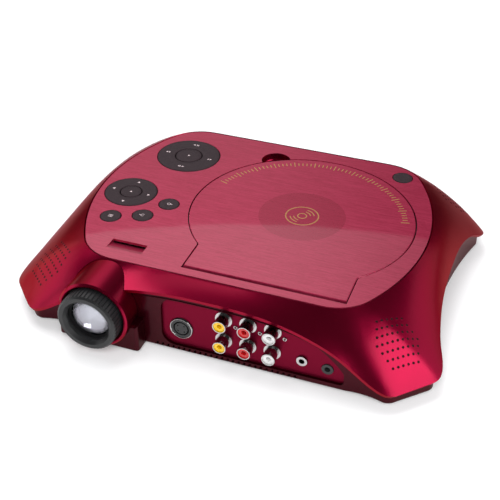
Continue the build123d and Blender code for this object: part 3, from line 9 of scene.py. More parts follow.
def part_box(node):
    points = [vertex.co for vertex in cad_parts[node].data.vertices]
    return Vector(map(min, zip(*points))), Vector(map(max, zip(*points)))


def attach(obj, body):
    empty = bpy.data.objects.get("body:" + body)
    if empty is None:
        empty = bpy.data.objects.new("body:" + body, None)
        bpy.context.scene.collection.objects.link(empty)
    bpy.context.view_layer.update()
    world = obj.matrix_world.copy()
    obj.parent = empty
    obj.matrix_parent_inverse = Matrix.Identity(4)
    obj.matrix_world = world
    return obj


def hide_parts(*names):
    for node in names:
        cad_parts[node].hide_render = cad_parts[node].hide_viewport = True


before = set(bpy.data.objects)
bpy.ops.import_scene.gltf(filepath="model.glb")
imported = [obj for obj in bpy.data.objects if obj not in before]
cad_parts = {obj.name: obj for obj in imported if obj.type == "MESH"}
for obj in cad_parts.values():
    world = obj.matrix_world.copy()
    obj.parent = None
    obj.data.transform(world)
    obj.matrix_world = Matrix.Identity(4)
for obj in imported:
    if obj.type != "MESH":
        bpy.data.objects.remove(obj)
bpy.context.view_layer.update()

# ---------------------------------------------------------------- upper shell
# The flared top of the case, moulded in one piece and sprayed with a metallic crimson lacquer
# under a clear coat. Its four corners sweep down into feet, and screws hold it from below.


class Wire:
    """One output of a node, so that shader maths is written as an expression."""

    def __init__(self, finish, socket):
        self.finish = finish
        self.socket = socket

    def maths(self, operation, first, second=0.0):
        return self.finish.node("ShaderNodeMath", {"operation": operation}, {0: first, 1: second})

    def __add__(self, other):
        return self.maths("ADD", self, other)

    def __sub__(self, other):
        return self.maths("SUBTRACT", self, other)

    def __rsub__(self, other):
        return self.maths("SUBTRACT", other, self)

    def __mul__(self, other):
        return self.maths("MULTIPLY", self, other)

    def __truediv__(self, other):
        return self.maths("DIVIDE", self, other)

    def __gt__(self, other):
        return self.maths("GREATER_THAN", self, other)

    def __lt__(self, other):
        return self.maths("LESS_THAN", self, other)

    def __pow__(self, other):
        return self.maths("POWER", self, other)

    def most(self, other):
        return self.maths("MAXIMUM", self, other)

    __radd__ = __add__
    __rmul__ = __mul__


class Finish:
    """A material: its even values go on the shader's own sockets, its maps come from nodes."""

    def __init__(self, name, colour, roughness, **even):
        self.material = bpy.data.materials.new(name)
        self.material.use_nodes = True
        self.material.diffuse_color = (*colour, 1.0)
        self.tree = self.material.node_tree
        self.shader = self.tree.nodes["Principled BSDF"]
        self.set(Base_Color=(*colour, 1.0), Roughness=roughness, **even)

    def set(self, **sockets):
        for name, value in sockets.items():
            self.plug(self.shader.inputs[name.replace("_", " ")], value)
        return self

    def plug(self, socket, value):
        if isinstance(value, Wire):
            self.tree.links.new(value.socket, socket)
        else:
            socket.default_value = value

    def node(self, kind, settings=None, inputs=None, output=0):
        made = self.tree.nodes.new(kind)
        for name, value in (settings or {}).items():
            if name == "stops":
                ramp = made.color_ramp
                while len(ramp.elements) < len(value):
                    ramp.elements.new(1.0)
                for element, (place, colour) in zip(ramp.elements, value):
                    element.position = place
                    element.color = (*colour, 1.0)
            else:
                setattr(made, name, value)
        for key, value in (inputs or {}).items():
            self.plug(made.inputs[key], value)
        return Wire(self, made.outputs[output])

    def place(self, scale=(1.0, 1.0, 1.0), turn=(0.0, 0.0, 0.0)):
        """Object coordinates in metres, stretched by scale."""
        point = self.node("ShaderNodeTexCoord", output="Object")
        return self.node("ShaderNodeMapping", None, {"Vector": point, "Scale": scale, "Rotation": turn})

    def grain(self, scale, detail=3.0, vector=None):
        """Noise from 0 to 1."""
        return self.node("ShaderNodeTexNoise", None,
                         {"Vector": vector or self.place(), "Scale": scale, "Detail": detail})

    def blend(self, factor, first, second):
        """A colour between two colours."""
        made = self.tree.nodes.new("ShaderNodeMix")
        made.data_type = "RGBA"
        self.plug(made.inputs[0], factor)
        for socket, colour in ((made.inputs[6], first), (made.inputs[7], second)):
            self.plug(socket, colour if isinstance(colour, Wire) else (*colour, 1.0))
        return Wire(self, made.outputs[2])

    def rays(self):
        """Whether the camera, a mirror or clear glass looks: three values of 0 or 1."""
        return [self.node("ShaderNodeLightPath", output=name)
                for name in ("Is Camera Ray", "Is Glossy Ray", "Is Transmission Ray")]

    def bumps(self, height, depth, strength=1.0):
        """A normal from a height map, depth in metres."""
        normal = self.node("ShaderNodeBump", None,
                           {"Height": height, "Distance": depth, "Strength": strength})
        return self.set(Normal=normal)


def coat_node(node, finish):
    """Gives a CAD node its finish, on each of its slots."""
    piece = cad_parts[node]
    for slot in piece.material_slots:
        slot.material = finish.material
    if not piece.material_slots:
        piece.data.materials.append(finish.material)


CRIMSON = (0.36, 0.004, 0.040)
CRIMSON_DEEP = (0.27, 0.002, 0.026)
CRIMSON_EDGE = (0.55, 0.05, 0.13, 1.0)
lacquer = Finish("crimson_lacquer", CRIMSON, 0.3, Metallic=0.95, Coat_Weight=0.15, Coat_Roughness=0.18,
                 Specular_Tint=CRIMSON_EDGE)
flake = lacquer.grain(2600.0, 1.0)
cloud = lacquer.grain(9.0, 2.0)
lacquer.set(Base_Color=lacquer.blend(cloud, CRIMSON_DEEP, CRIMSON), Roughness=flake * 0.08 + 0.27)
lacquer.bumps(lacquer.grain(3800.0, 1.0), 0.000004, 0.25)
coat_node("upper_shell", lacquer)

# ---------------------------------------------------------------- speaker grilles
# Seven staggered rows of drilled holes on the slope of each foot, 1.5 mm across, in front of the
# loudspeakers. Each hole is a dark cup, painted shade for the hole's inside, with a thin bright
# drilled edge, set in the shell's face.
GRILLE_ROWS = ((6, 0), (7, 0), (8, 0), (9, 0), (8, 1), (7, 2), (6, 3))
GRILLE_START = (0.1002, -0.0826)
COLUMN_STEP = (0.0025, 0.00235)
ROW_STEP = (0.00125, -0.0036)
HOLE_RADIUS = 0.00078
HOLE_SIDES = 14
DRILLED_EDGE = 0.00016


def mesh_piece(name, make, finish, body, smooth=True):
    """A new mesh object: make(bm) draws it, and it rides on a body."""
    bm = bmesh.new()
    make(bm)
    bmesh.ops.recalc_face_normals(bm, faces=bm.faces)
    mesh = bpy.data.meshes.new(name)
    bm.to_mesh(mesh)
    bm.free()
    mesh.materials.append(finish.material)
    for polygon in mesh.polygons:
        polygon.use_smooth = smooth
    piece = bpy.data.objects.new(name, mesh)
    bpy.context.scene.collection.objects.link(piece)
    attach(piece, body)
    return piece


def revolve(bm, profile, where=Matrix(), sides=48, closed=False):
    """Turns a profile of (radius, height) points about the Z of a placement matrix."""
    rings = []
    for radius, height in profile:
        if radius == 0.0:
            rings.append([bm.verts.new(where @ Vector((0.0, 0.0, height)))])
            continue
        ring = []
        for i in range(sides):
            turn = math.tau * i / sides
            point = Vector((radius * math.cos(turn), radius * math.sin(turn), height))
            ring.append(bm.verts.new(where @ point))
        rings.append(ring)
    pairs = list(zip(rings, rings[1:]))
    if closed:
        pairs.append((rings[-1], rings[0]))
    for low, high in pairs:
        for i in range(sides):
            j = (i + 1) % sides
            corners = [low[i % len(low)], low[j % len(low)], high[j % len(high)], high[i % len(high)]]
            corners = [v for k, v in enumerate(corners) if v not in corners[:k]]
            if len(corners) > 2:
                bm.faces.new(corners)


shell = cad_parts["upper_shell"]
shell_tree = BVHTree.FromPolygons([v.co for v in shell.data.vertices],
                                  [p.vertices for p in shell.data.polygons])
CASE_MIDDLE_Y = 0.008325


def grille_places(side, end):
    """Where the holes of one foot are on the shell's face, with the face's directions."""
    for row, (count, first) in enumerate(GRILLE_ROWS):
        for column in range(first, first + count):
            x = GRILLE_START[0] + column * COLUMN_STEP[0] + row * ROW_STEP[0]
            y = GRILLE_START[1] + column * COLUMN_STEP[1] + row * ROW_STEP[1]
            above = Vector((side * x, CASE_MIDDLE_Y + end * y, 0.1))
            spot, normal = shell_tree.ray_cast(above, Vector((0.0, 0.0, -1.0)))[:2]
            if spot is not None:
                turn = Vector((0.0, 0.0, 1.0)).rotation_difference(normal).to_matrix().to_4x4()
                yield Matrix.Translation(spot) @ turn


# Painted shade: near-black discs on the shell's face stand for the shadow inside each drilled hole.
hole_shadow = Finish("grille_shadow", (0.010, 0.002, 0.004), 0.6, Specular_IOR_Level=0.15)
hole_shadow.bumps(hole_shadow.grain(900.0), 0.00002, 0.3)
GRILLES = {"front_left": (-1, 1), "front_right": (1, 1), "rear_left": (-1, -1), "rear_right": (1, -1)}
for corner, (side, end) in GRILLES.items():
    places = list(grille_places(side, end))
    cup = ((0.0, 0.00001), (HOLE_RADIUS * 0.7, 0.00001), (HOLE_RADIUS, 0.00004))
    rim = ((HOLE_RADIUS, 0.00004), (HOLE_RADIUS + DRILLED_EDGE * 0.4, 0.00007),
           (HOLE_RADIUS + DRILLED_EDGE, -0.00003))
    mesh_piece("grille_holes_" + corner, lambda bm: [revolve(bm, cup, at, HOLE_SIDES) for at in places],
               hole_shadow, "housing")
    mesh_piece("grille_edges_" + corner, lambda bm: [revolve(bm, rim, at, HOLE_SIDES) for at in places],
               lacquer, "housing")

# ---------------------------------------------------------------- lower shell and its vents
# The bottom half of the case, in the same lacquer, a little duller with the mould's texture, and
# painted far darker as shade under the overhang of the upper shell. A
# thin raised bead follows the front arch, and four rubber feet are pressed into its corners.
# Painted shade: this lacquer is painted about six times darker than the upper shell's crimson, for the shade
# under the upper shell's overhang. The bead and the inner walls share it.
UNDER_SHADE_DEEP = (0.035, 0.0006, 0.004)
UNDER_SHADE_PALE = (0.060, 0.001, 0.008)
shaded_under_lacquer = Finish("crimson_lacquer_low_painted_shade", UNDER_SHADE_PALE, 0.36, Metallic=0.8, Coat_Weight=0.2,
                       Coat_Roughness=0.15, Specular_Tint=CRIMSON_EDGE)
under_cloud = shaded_under_lacquer.grain(14.0, 2.0)
shaded_under_lacquer.set(Base_Color=shaded_under_lacquer.blend(under_cloud, UNDER_SHADE_DEEP, UNDER_SHADE_PALE))
shaded_under_lacquer.bumps(shaded_under_lacquer.grain(2400.0, 2.0), 0.00001, 0.35)
for node in ("lower_shell", "front_wall", "side_walls", "rear_wall"):
    coat_node(node, shaded_under_lacquer)
BEAD_DROP = 0.0052
BEAD_RADIUS = 0.00045
ARCH_HALF = 0.1132
ARCH_FOOT = 0.012
ARCH_RISE = 0.0344
ARCH_POWER = 2.76
WALL_FRONT = -0.0940
BEAD_REACH = (-0.040, 0.098)
BEAD_POINTS = 24
bead_line = bpy.data.curves.new("front_arch_bead", "CURVE")
bead_line.dimensions = "3D"
bead_line.bevel_depth = BEAD_RADIUS
bead_line.bevel_resolution = 2
bead_spline = bead_line.splines.new("POLY")
bead_spline.points.add(BEAD_POINTS - 1)
for i, point in enumerate(bead_spline.points):
    x = BEAD_REACH[0] + (BEAD_REACH[1] - BEAD_REACH[0]) * i / (BEAD_POINTS - 1)
    z = ARCH_FOOT + ARCH_RISE * (1.0 - (abs(x) / ARCH_HALF) ** ARCH_POWER) - BEAD_DROP
    point.co = (x, WALL_FRONT, z, 1.0)
bead_line.materials.append(shaded_under_lacquer.material)
bead = bpy.data.objects.new("front_arch_bead", bead_line)
bpy.context.scene.collection.objects.link(bead)
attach(bead, "housing")

rubber = Finish("foot_rubber", (0.018, 0.018, 0.019), 0.75)
rubber.set(Roughness=rubber.grain(300.0) * 0.15 + 0.68)
rubber.bumps(rubber.grain(1200.0), 0.00003, 0.5)
coat_node("rubber_feet", rubber)
coat_node("key_domes", rubber)

zinc = Finish("zinc_plate", (0.55, 0.55, 0.56), 0.3, Metallic=1.0)
zinc.set(Roughness=zinc.grain(500.0) * 0.15 + 0.24)
for node in ("case_screws", "lid_hinge_pins", "guide_rods", "spindle_motor", "card_socket"):
    coat_node(node, zinc)

# ---------------------------------------------------------------- deck panel
# A flat plate let into the top of the case inside a fine seam. Its satin lacquer is brushed across,
# so that light draws out into fine streaks, and it is paler than the gloss of the shell.
SATIN = (0.50, 0.038, 0.098)
SATIN_DARK = (0.36, 0.018, 0.058)


def brushed_lacquer(name):
    """Satin lacquer with streaks along X."""
    finish = Finish(name, SATIN, 0.36, Metallic=0.6, Coat_Weight=0.8, Coat_Roughness=0.03,
                    Specular_Tint=CRIMSON_EDGE)
    long_streaks = finish.grain(1.0, 5.0, finish.place((90.0, 1500.0, 90.0)))
    short_streaks = finish.grain(1.0, 3.0, finish.place((420.0, 2600.0, 420.0)))
    streaks = long_streaks * 0.6 + short_streaks * 0.4
    sharp = finish.node("ShaderNodeMapRange", {"clamp": True},
                        {"Value": streaks, "From Min": 0.38, "From Max": 0.62})
    return finish, sharp


deck_satin, deck_streaks = brushed_lacquer("brushed_crimson_deck")
deck_satin.set(Base_Color=deck_satin.blend(deck_streaks, SATIN_DARK, SATIN),
               Roughness=deck_streaks * 0.10 + 0.30)
deck_satin.bumps(deck_streaks, 0.000012, 0.5)
coat_node("deck_panel", deck_satin)

# ---------------------------------------------------------------- disc lid
# A round lid with a straight tab, in the deck's satin lacquer. A scale of gold strokes is printed
# round its rear rim, and a plain gold disc sign stands in a darker round field at its middle.
lid_low, lid_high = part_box("disc_lid")
LID_RADIUS = 0.075
LID_SKIN = 0.0004
lid_centre = Vector(((lid_low[0] + lid_high[0]) / 2, lid_high[1] - LID_RADIUS, lid_high[2]))
FIELD_RADIUS = 0.029
FIELD_COLOUR = (0.30, 0.014, 0.045)
lid_satin, lid_streaks = brushed_lacquer("brushed_crimson_lid")
lid_point = lid_satin.node("ShaderNodeTexCoord", output="Object")
lid_x, lid_y, lid_z = [lid_satin.node("ShaderNodeSeparateXYZ", None, {0: lid_point}, k) for k in range(3)]
off_x = lid_x - lid_centre.x
off_y = lid_y - lid_centre.y
field = ((off_x * off_x + off_y * off_y) < FIELD_RADIUS ** 2) * (lid_z > lid_centre.z - LID_SKIN)
lid_colour = lid_satin.blend(lid_streaks, SATIN_DARK, SATIN)
lid_satin.set(Base_Color=lid_satin.blend(field * 0.65, lid_colour, FIELD_COLOUR),
              Roughness=lid_streaks * 0.08 + 0.30 - field * 0.04)
lid_satin.bumps(lid_streaks, 0.00001, 0.4)
coat_node("disc_lid", lid_satin)

# The finger notch behind the lid is a round cup in the gloss lacquer.
NOTCH_RADIUS = 0.0104
NOTCH_DEPTH = 0.0063
NOTCH_TURN = math.radians(121.7)
NOTCH_REACH = LID_RADIUS + 0.0006
notch_centre = lid_centre + NOTCH_REACH * Vector((math.cos(NOTCH_TURN), math.sin(NOTCH_TURN), 0.0))
LID_CLEAR = LID_RADIUS + 0.0009
LID_ROOM_DEPTH = 0.0045


def draw_notch(bm):
    """The cup's wall and floor, left out where the lid's room is."""
    levels = ((NOTCH_RADIUS, -0.0003), (NOTCH_RADIUS, -NOTCH_DEPTH * 0.7),
              (NOTCH_RADIUS * 0.93, -NOTCH_DEPTH * 0.92), (NOTCH_RADIUS * 0.75, -NOTCH_DEPTH),
              (NOTCH_RADIUS * 0.4, -NOTCH_DEPTH), (0.0, -NOTCH_DEPTH))
    revolve(bm, levels, Matrix.Translation(notch_centre), 64)
    middle = Vector((lid_centre.x, lid_centre.y))
    inside = [f for f in bm.faces if (f.calc_center_median().xy - middle).length < LID_CLEAR
              and f.calc_center_median().z > notch_centre.z - LID_ROOM_DEPTH]
    bmesh.ops.delete(bm, geom=inside, context="FACES")


mesh_piece("finger_notch_cup", draw_notch, lacquer, "housing")

# The card pocket's floor rises from its slot to the deck at its front, in the deck's satin.
POCKET_X = (-0.0762, -0.0524)
POCKET_Y = (-0.06868, -0.05898)
POCKET_DROP = 0.0030
RAMP_SHARES = (0.0, 0.15, 0.4, 0.7, 1.0)
RAMP_SKIN = 0.00004


def draw_ramp(bm):
    """The ramp is steep at the slot and runs out flat at the deck's face."""
    deck_top = lid_centre.z
    rows = []
    for share in RAMP_SHARES:
        y = POCKET_Y[1] + (POCKET_Y[0] - POCKET_Y[1]) * share
        z = deck_top - POCKET_DROP * (1.0 - share) ** 1.5 - RAMP_SKIN
        rows.append([bm.verts.new((x, y, z)) for x in POCKET_X])
    for a, b in zip(rows, rows[1:]):
        bm.faces.new((a[0], a[1], b[1], b[0]))


mesh_piece("card_pocket_ramp", draw_ramp, deck_satin, "housing")

gold_ink = Finish("gold_ink", (0.50, 0.27, 0.09), 0.42, Metallic=0.55)
gold_ink.set(Base_Color=gold_ink.blend(gold_ink.grain(700.0), (0.42, 0.20, 0.07), (0.56, 0.32, 0.12)))
gold_ink.bumps(gold_ink.grain(2500.0), 0.000005, 0.4)
INK = 0.00004
SCALE_REACH = (13.5, 160.8)
SCALE_STEPS = 60
SCALE_PLACE = LID_RADIUS * 0.905
STROKE_WIDTH = 0.0007
LONG_STROKE = 0.0058
SHORT_STROKE = 0.0034
LONG_EVERY = 5
SIGN_RINGS = ((0.0105, 0.0113, 64), (0.0026, 0.0033, 40))
SIGN_ARCS = ((0.0052, 0.0059), (0.0076, 0.0083))
SIGN_ARC_STARTS = (20, 200)
SIGN_ARC_TURN = 60


def flat_shape(bm, outline, where):
    """A printed shape: a thin plate with the outline's points, a hair above its base."""
    top = [bm.verts.new(where @ Vector((x, y, INK))) for x, y in outline]
    low = [bm.verts.new(where @ Vector((x, y, -INK))) for x, y in outline]
    bm.faces.new(top)
    for i in range(len(outline)):
        j = (i + 1) % len(outline)
        bm.faces.new((low[i], low[j], top[j], top[i]))


def bar(bm, where, x, y, width, height):
    """A printed rectangle about x, y."""
    flat_shape(bm, ((x - width / 2, y - height / 2), (x + width / 2, y - height / 2),
                    (x + width / 2, y + height / 2), (x - width / 2, y + height / 2)), where)


def arc_band(bm, where, inner, outer, start, end, steps=32):
    """A printed piece of a ring between two angles in degrees."""
    turns = [math.radians(start + (end - start) * i / steps) for i in range(steps + 1)]
    for a, b in zip(turns, turns[1:]):
        corners = ((inner, a), (outer, a), (outer, b), (inner, b))
        flat_shape(bm, [(reach * math.cos(turn), reach * math.sin(turn)) for reach, turn in corners], where)


def draw_scale(bm):
    for i in range(SCALE_STEPS + 1):
        angle = SCALE_REACH[0] + (SCALE_REACH[1] - SCALE_REACH[0]) * i / SCALE_STEPS
        length = LONG_STROKE if i % LONG_EVERY == 0 else SHORT_STROKE
        where = Matrix.Translation(lid_centre) @ Matrix.Rotation(math.radians(angle), 4, "Z")
        bar(bm, where, SCALE_PLACE, 0.0, length, STROKE_WIDTH)


def draw_sign(bm):
    where = Matrix.Translation(lid_centre)
    for inner, outer, steps in SIGN_RINGS:
        arc_band(bm, where, inner, outer, 0, 360, steps)
    for start in SIGN_ARC_STARTS:
        for inner, outer in SIGN_ARCS:
            arc_band(bm, where, inner, outer, start, start + SIGN_ARC_TURN, 16)


mesh_piece("lid_gold_scale", draw_scale, gold_ink, "lid", smooth=False)
mesh_piece("lid_gold_disc_sign", draw_sign, gold_ink, "lid", smooth=False)

# ---------------------------------------------------------------- disc well and drive
# Black moulded bowl under the lid, with the turntable, the sled and its rods, seen when the lid is
# open. The glass of the pick-up has a violet coating.
moulding = Finish("black_moulding", (0.022, 0.022, 0.025), 0.5)
moulding.set(Roughness=moulding.grain(220.0) * 0.12 + 0.44)
moulding.bumps(moulding.grain(1500.0, 2.0), 0.00002, 0.45)
for node in ("disc_well", "drive_chassis", "turntable", "pickup_sled", "fan_frame", "fan_rotor", "speakers",
             "board_capacitors", "ring_cradle_large", "ring_cradle_small", "power_inlet"):
    coat_node(node, moulding)
optic = Finish("coated_optic", (0.16, 0.12, 0.30), 0.05, Coat_Weight=1.0, Coat_Roughness=0.02)
optic.set(Base_Color=optic.blend(optic.grain(400.0), (0.10, 0.10, 0.30), (0.24, 0.12, 0.30)))
coat_node("pickup_lens", optic)
board_green = Finish("circuit_board", (0.015, 0.10, 0.04), 0.35, Coat_Weight=0.4)
board_green.set(Base_Color=board_green.blend(board_green.grain(260.0, 4.0) > 0.55, (0.012, 0.09, 0.035),
                                             (0.03, 0.16, 0.06)))
for node in ("key_board", "jack_board", "main_board"):
    coat_node(node, board_green)

# ---------------------------------------------------------------- keys
# Two rocking ring keys, each with a button in its middle, and four small round keys. All are
# charcoal mouldings with a soft edge, dished a little, with small printed marks.
KEY_DEPTH = 0.0042
KEY_FLANGE = 0.001
FLANGE_DROP = 0.0032
SOFT_EDGE = 0.0006
DISH = 0.00025
charcoal = Finish("charcoal_keys", (0.030, 0.020, 0.024), 0.5, Specular_IOR_Level=0.12)
charcoal_cloud = charcoal.grain(900.0, 3.0)
charcoal.set(Base_Color=charcoal.blend(charcoal_cloud, (0.018, 0.011, 0.014), (0.044, 0.030, 0.034)),
             Roughness=charcoal.grain(420.0) * 0.14 + 0.36)
charcoal.bumps(charcoal.grain(1600.0, 2.0), 0.00002, 0.5)
key_ink = Finish("key_ink", (0.62, 0.50, 0.52), 0.5)
key_ink.set(Base_Color=key_ink.blend(key_ink.grain(1500.0), (0.50, 0.38, 0.40), (0.70, 0.58, 0.60)))


def key_profile(outer, bore, depth, flange):
    """Half section of a key from its middle or bore over its soft edges and down to its flange."""
    points = []
    if bore > 0.0:
        points += [(bore, -depth), (bore, -SOFT_EDGE), (bore + SOFT_EDGE * 0.3, -SOFT_EDGE * 0.3),
                   (bore + SOFT_EDGE, 0.0)]
        for share in (0.25, 0.5, 0.75):
            reach = bore + SOFT_EDGE + (outer - bore - 2 * SOFT_EDGE) * share
            points.append((reach, -DISH * math.sin(math.pi * share)))
    else:
        points += [(0.0, -DISH), (outer * 0.3, -DISH * 0.91), (outer * 0.6, -DISH * 0.6)]
    points += [(outer - SOFT_EDGE, 0.0), (outer - SOFT_EDGE * 0.3, -SOFT_EDGE * 0.3), (outer, -SOFT_EDGE)]
    if flange:
        points += [(outer, -FLANGE_DROP), (outer + KEY_FLANGE, -FLANGE_DROP), (outer + KEY_FLANGE, -depth)]
    else:
        points += [(outer, -depth)]
    if bore == 0.0:
        points.append((0.0, -depth))
    return points


def key_piece(node, bore=0.0, flange=True):
    """The visible moulding of a key, in place of its plain node. It returns the key's middle and
    radius."""
    low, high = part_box(node)
    centre = Vector(((low[0] + high[0]) / 2, (low[1] + high[1]) / 2, high[2]))
    outer = (high[0] - low[0]) / 2 - (KEY_FLANGE if flange else 0.0)
    profile = key_profile(outer, bore, KEY_DEPTH, flange)
    where = Matrix.Translation(centre)
    piece = mesh_piece(node + "_cap", lambda bm: revolve(bm, profile, where, 72, bore > 0.0), charcoal, node)
    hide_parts(node)
    return centre, outer


def triangle(bm, where, x, y, size, turn):
    """A printed triangle that points along turn, in degrees."""
    corners = []
    for k in (0, 120, 240):
        angle = math.radians(turn + k)
        corners.append((x + size * math.cos(angle), y + size * math.sin(angle)))
    flat_shape(bm, corners, where)


ARROW = 0.0013
SMALL_ARROW = 0.0011
SKIP_ARROW = 0.0010
SKIP_PLACES = (-0.0009, 0.0008)
PAUSE_BAR = (0.0018, 0.0006)
PAUSE_PLACES = (-0.0011, 0.0)
PLAY_PLACE = 0.0019


def draw_arrow_marks(bm, turned, reach):
    """One arrow outwards at each quarter of a ring."""
    for turn in (0, 90, 180, 270):
        triangle(bm, turned(turn), reach, 0.0, ARROW, 0)


def draw_player_marks(bm, turned, reach):
    """Double arrows to the sides and a play-and-pause sign at both ends of a ring."""
    for turn in (0, 90, 180, 270):
        spin = turned(turn)
        if turn % 180 == 0:
            for place in SKIP_PLACES:
                triangle(bm, spin, reach + place, 0.0, SKIP_ARROW, 0)
        else:
            for place in PAUSE_PLACES:
                bar(bm, spin, reach, place, *PAUSE_BAR)
            triangle(bm, spin, reach, PLAY_PLACE, SMALL_ARROW, 90)


def dish_of(centre, turn=0):
    """Where print lies in a key's dish, turned about the key's middle by turn degrees."""
    return Matrix.Translation(centre - Vector((0, 0, DISH))) @ Matrix.Rotation(math.radians(turn), 4, "Z")


for size, bore, draw_marks, arrow_turn in (("large", 0.0099, draw_player_marks, 0),
                                           ("small", 0.0077, draw_arrow_marks, 90)):
    centre, outer = key_piece("ring_key_" + size, bore)
    mesh_piece("ring_marks_" + size,
               lambda bm: draw_marks(bm, lambda turn: dish_of(centre, turn), (outer + bore) / 2),
               key_ink, "ring_key_" + size, False)
    centre, outer = key_piece("centre_button_" + size, 0.0, False)
    mesh_piece("centre_mark_" + size,
               lambda bm: triangle(bm, dish_of(centre), 0.0, 0.0, SMALL_ARROW, arrow_turn),
               key_ink, "centre_button_" + size, False)

MENU_PITCH = 0.0011
MENU_BAR = (0.0030, 0.0004)
SOURCE_RING = (0.0010, 0.0013)
SOURCE_BAR = (-0.0020, 0.0, 0.0016, 0.0004)
ZOOM_RING = (0.0009, 0.0012)
ZOOM_BAR = (0.0019, 0.0, 0.0013, 0.0004)


def draw_menu_mark(bm, where):
    for k in (-1, 0, 1):
        bar(bm, where, 0.0, MENU_PITCH * k, *MENU_BAR)


def draw_source_mark(bm, where):
    arc_band(bm, where, *SOURCE_RING, 30, 330)
    bar(bm, where, *SOURCE_BAR)


def draw_zoom_mark(bm, where):
    arc_band(bm, where, *ZOOM_RING, 0, 360)
    bar(bm, where, *ZOOM_BAR)


KEY_MARKS = {"menu_key": draw_menu_mark, "source_key": draw_source_mark, "zoom_key": draw_zoom_mark,
             "power_key": None}
for node, draw_mark in KEY_MARKS.items():
    centre, outer = key_piece(node)
    if draw_mark:
        mesh_piece(node + "_mark", lambda bm: draw_mark(bm, dish_of(centre)), key_ink, node, False)

# ---------------------------------------------------------------- lens hood, focus ring and lens
# The hood is part of the case's lacquer. In it a knurled black ring turns on the barrel, and the
# coated front glass bulges out of the ring, over a bowl painted pale in its middle and dark at its
# rim: a painted reflection of the lens's bright insides.
coat_node("lens_hood", lacquer)
lens_black = Finish("lens_black", (0.012, 0.012, 0.013), 0.42)
lens_black.set(Roughness=lens_black.grain(350.0) * 0.14 + 0.34)
lens_black.bumps(lens_black.grain(1800.0), 0.000015, 0.4)
for node in ("focus_ring", "lens_barrel", "lens_cell", "lcd_frame"):
    coat_node(node, lens_black)
glass = Finish("optical_glass", (0.95, 0.97, 1.0), 0.02, Transmission_Weight=1.0, IOR=1.5)
glass.set(Roughness=glass.grain(60.0) * 0.01 + 0.012)
for node in ("rear_glass", "condenser_lens", "lcd_panel", "lamp", "front_glass"):
    coat_node(node, glass)
aluminium = Finish("mill_aluminium", (0.62, 0.62, 0.63), 0.36, Metallic=1.0)
aluminium.set(Roughness=aluminium.grain(1.0, 3.0, aluminium.place((60.0, 60.0, 1400.0))) * 0.2 + 0.26)
for node in ("light_stands", "heat_sink", "lamp_reflector"):
    coat_node(node, aluminium)
ceramic = Finish("lamp_ceramic", (0.72, 0.68, 0.60), 0.5)
ceramic.bumps(ceramic.grain(600.0), 0.00003, 0.4)
coat_node("lamp_socket", ceramic)

glass_low, glass_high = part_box("front_glass")
lens_axis = Vector(((glass_low[0] + glass_high[0]) / 2, glass_high[1], (glass_low[2] + glass_high[2]) / 2))
TOWARDS_FRONT = Matrix.Rotation(math.radians(90), 4, "X")
BOWL_RADIUS = 0.0117
BOWL_DEPTH = 0.0060
BOWL_BACK = 0.0008
BOWL_STEPS = 12
# Painted reflection: the bowl is coloured pale grey in the middle and near black at its rim, for the bright
# insides seen through the front glass.
PAINTED_REFLECTION_STOPS = ((0.0, (0.80, 0.80, 0.83)), (0.45, (0.62, 0.61, 0.64)), (0.8, (0.36, 0.33, 0.37)),
              (1.0, (0.10, 0.08, 0.10)))
lens_painted_reflection = Finish("lens_reflections", (0.62, 0.62, 0.64), 0.16, Metallic=0.65, Coat_Weight=0.6,
                   Coat_Roughness=0.04)
bowl_point = lens_painted_reflection.node("ShaderNodeTexCoord", output="Object")
bowl_x = lens_painted_reflection.node("ShaderNodeSeparateXYZ", None, {0: bowl_point}, 0) - lens_axis.x
bowl_z = lens_painted_reflection.node("ShaderNodeSeparateXYZ", None, {0: bowl_point}, 2) - lens_axis.z
bowl_reach = ((bowl_x * bowl_x + bowl_z * bowl_z) ** 0.5) / BOWL_RADIUS
lens_painted_reflection.set(Base_Color=lens_painted_reflection.node("ShaderNodeValToRGB", {"stops": PAINTED_REFLECTION_STOPS}, {"Fac": bowl_reach}))
bowl_profile = []
for i in range(BOWL_STEPS + 1):
    share = i / BOWL_STEPS
    bowl_profile.append((BOWL_RADIUS * share, -BOWL_DEPTH * (1.0 - share * share)))
bowl_at = Matrix.Translation(lens_axis + Vector((0, BOWL_BACK, 0))) @ TOWARDS_FRONT
bowl = mesh_piece("lens_painted_reflection_bowl", lambda bm: revolve(bm, bowl_profile, bowl_at, 64), lens_painted_reflection,
                  "lens_cell")

# ---------------------------------------------------------------- jack panel and jacks
# A lacquered plate behind the recess of the front wall carries six phono jacks with plated rims and
# coloured insulators, a round multi-pin socket and two small jacks. Small plated eyelets hold it.
recess_lacquer = Finish("crimson_lacquer_recess", (0.17, 0.004, 0.022), 0.34, Metallic=0.7,
                        Specular_Tint=CRIMSON_EDGE)
recess_lacquer.set(Roughness=recess_lacquer.grain(1400.0, 2.0) * 0.12 + 0.28)
coat_node("jack_panel", recess_lacquer)
chrome = Finish("nickel_plate", (0.56, 0.54, 0.54), 0.16, Metallic=1.0)
chrome.set(Roughness=chrome.grain(500.0) * 0.08 + 0.12)
coat_node("rca_shells", chrome)
coat_node("phone_jack", chrome)
for node, pale, deep in (("rca_inserts_yellow", (0.95, 0.62, 0.01), (0.80, 0.45, 0.004)),
                         ("rca_inserts_red", (0.65, 0.012, 0.015), (0.45, 0.006, 0.008)),
                         ("rca_inserts_white", (0.85, 0.84, 0.84), (0.68, 0.67, 0.67))):
    plastic = Finish(node, pale, 0.28, Coat_Weight=0.3)
    plastic.set(Base_Color=plastic.blend(plastic.grain(500.0), deep, pale))
    coat_node(node, plastic)
socket_black = Finish("socket_black", (0.02, 0.02, 0.021), 0.3)
socket_black.set(Roughness=socket_black.grain(600.0) * 0.1 + 0.24)
coat_node("din_socket", socket_black)
coat_node("av_jack", socket_black)
jack_low, jack_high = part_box("rca_shells")
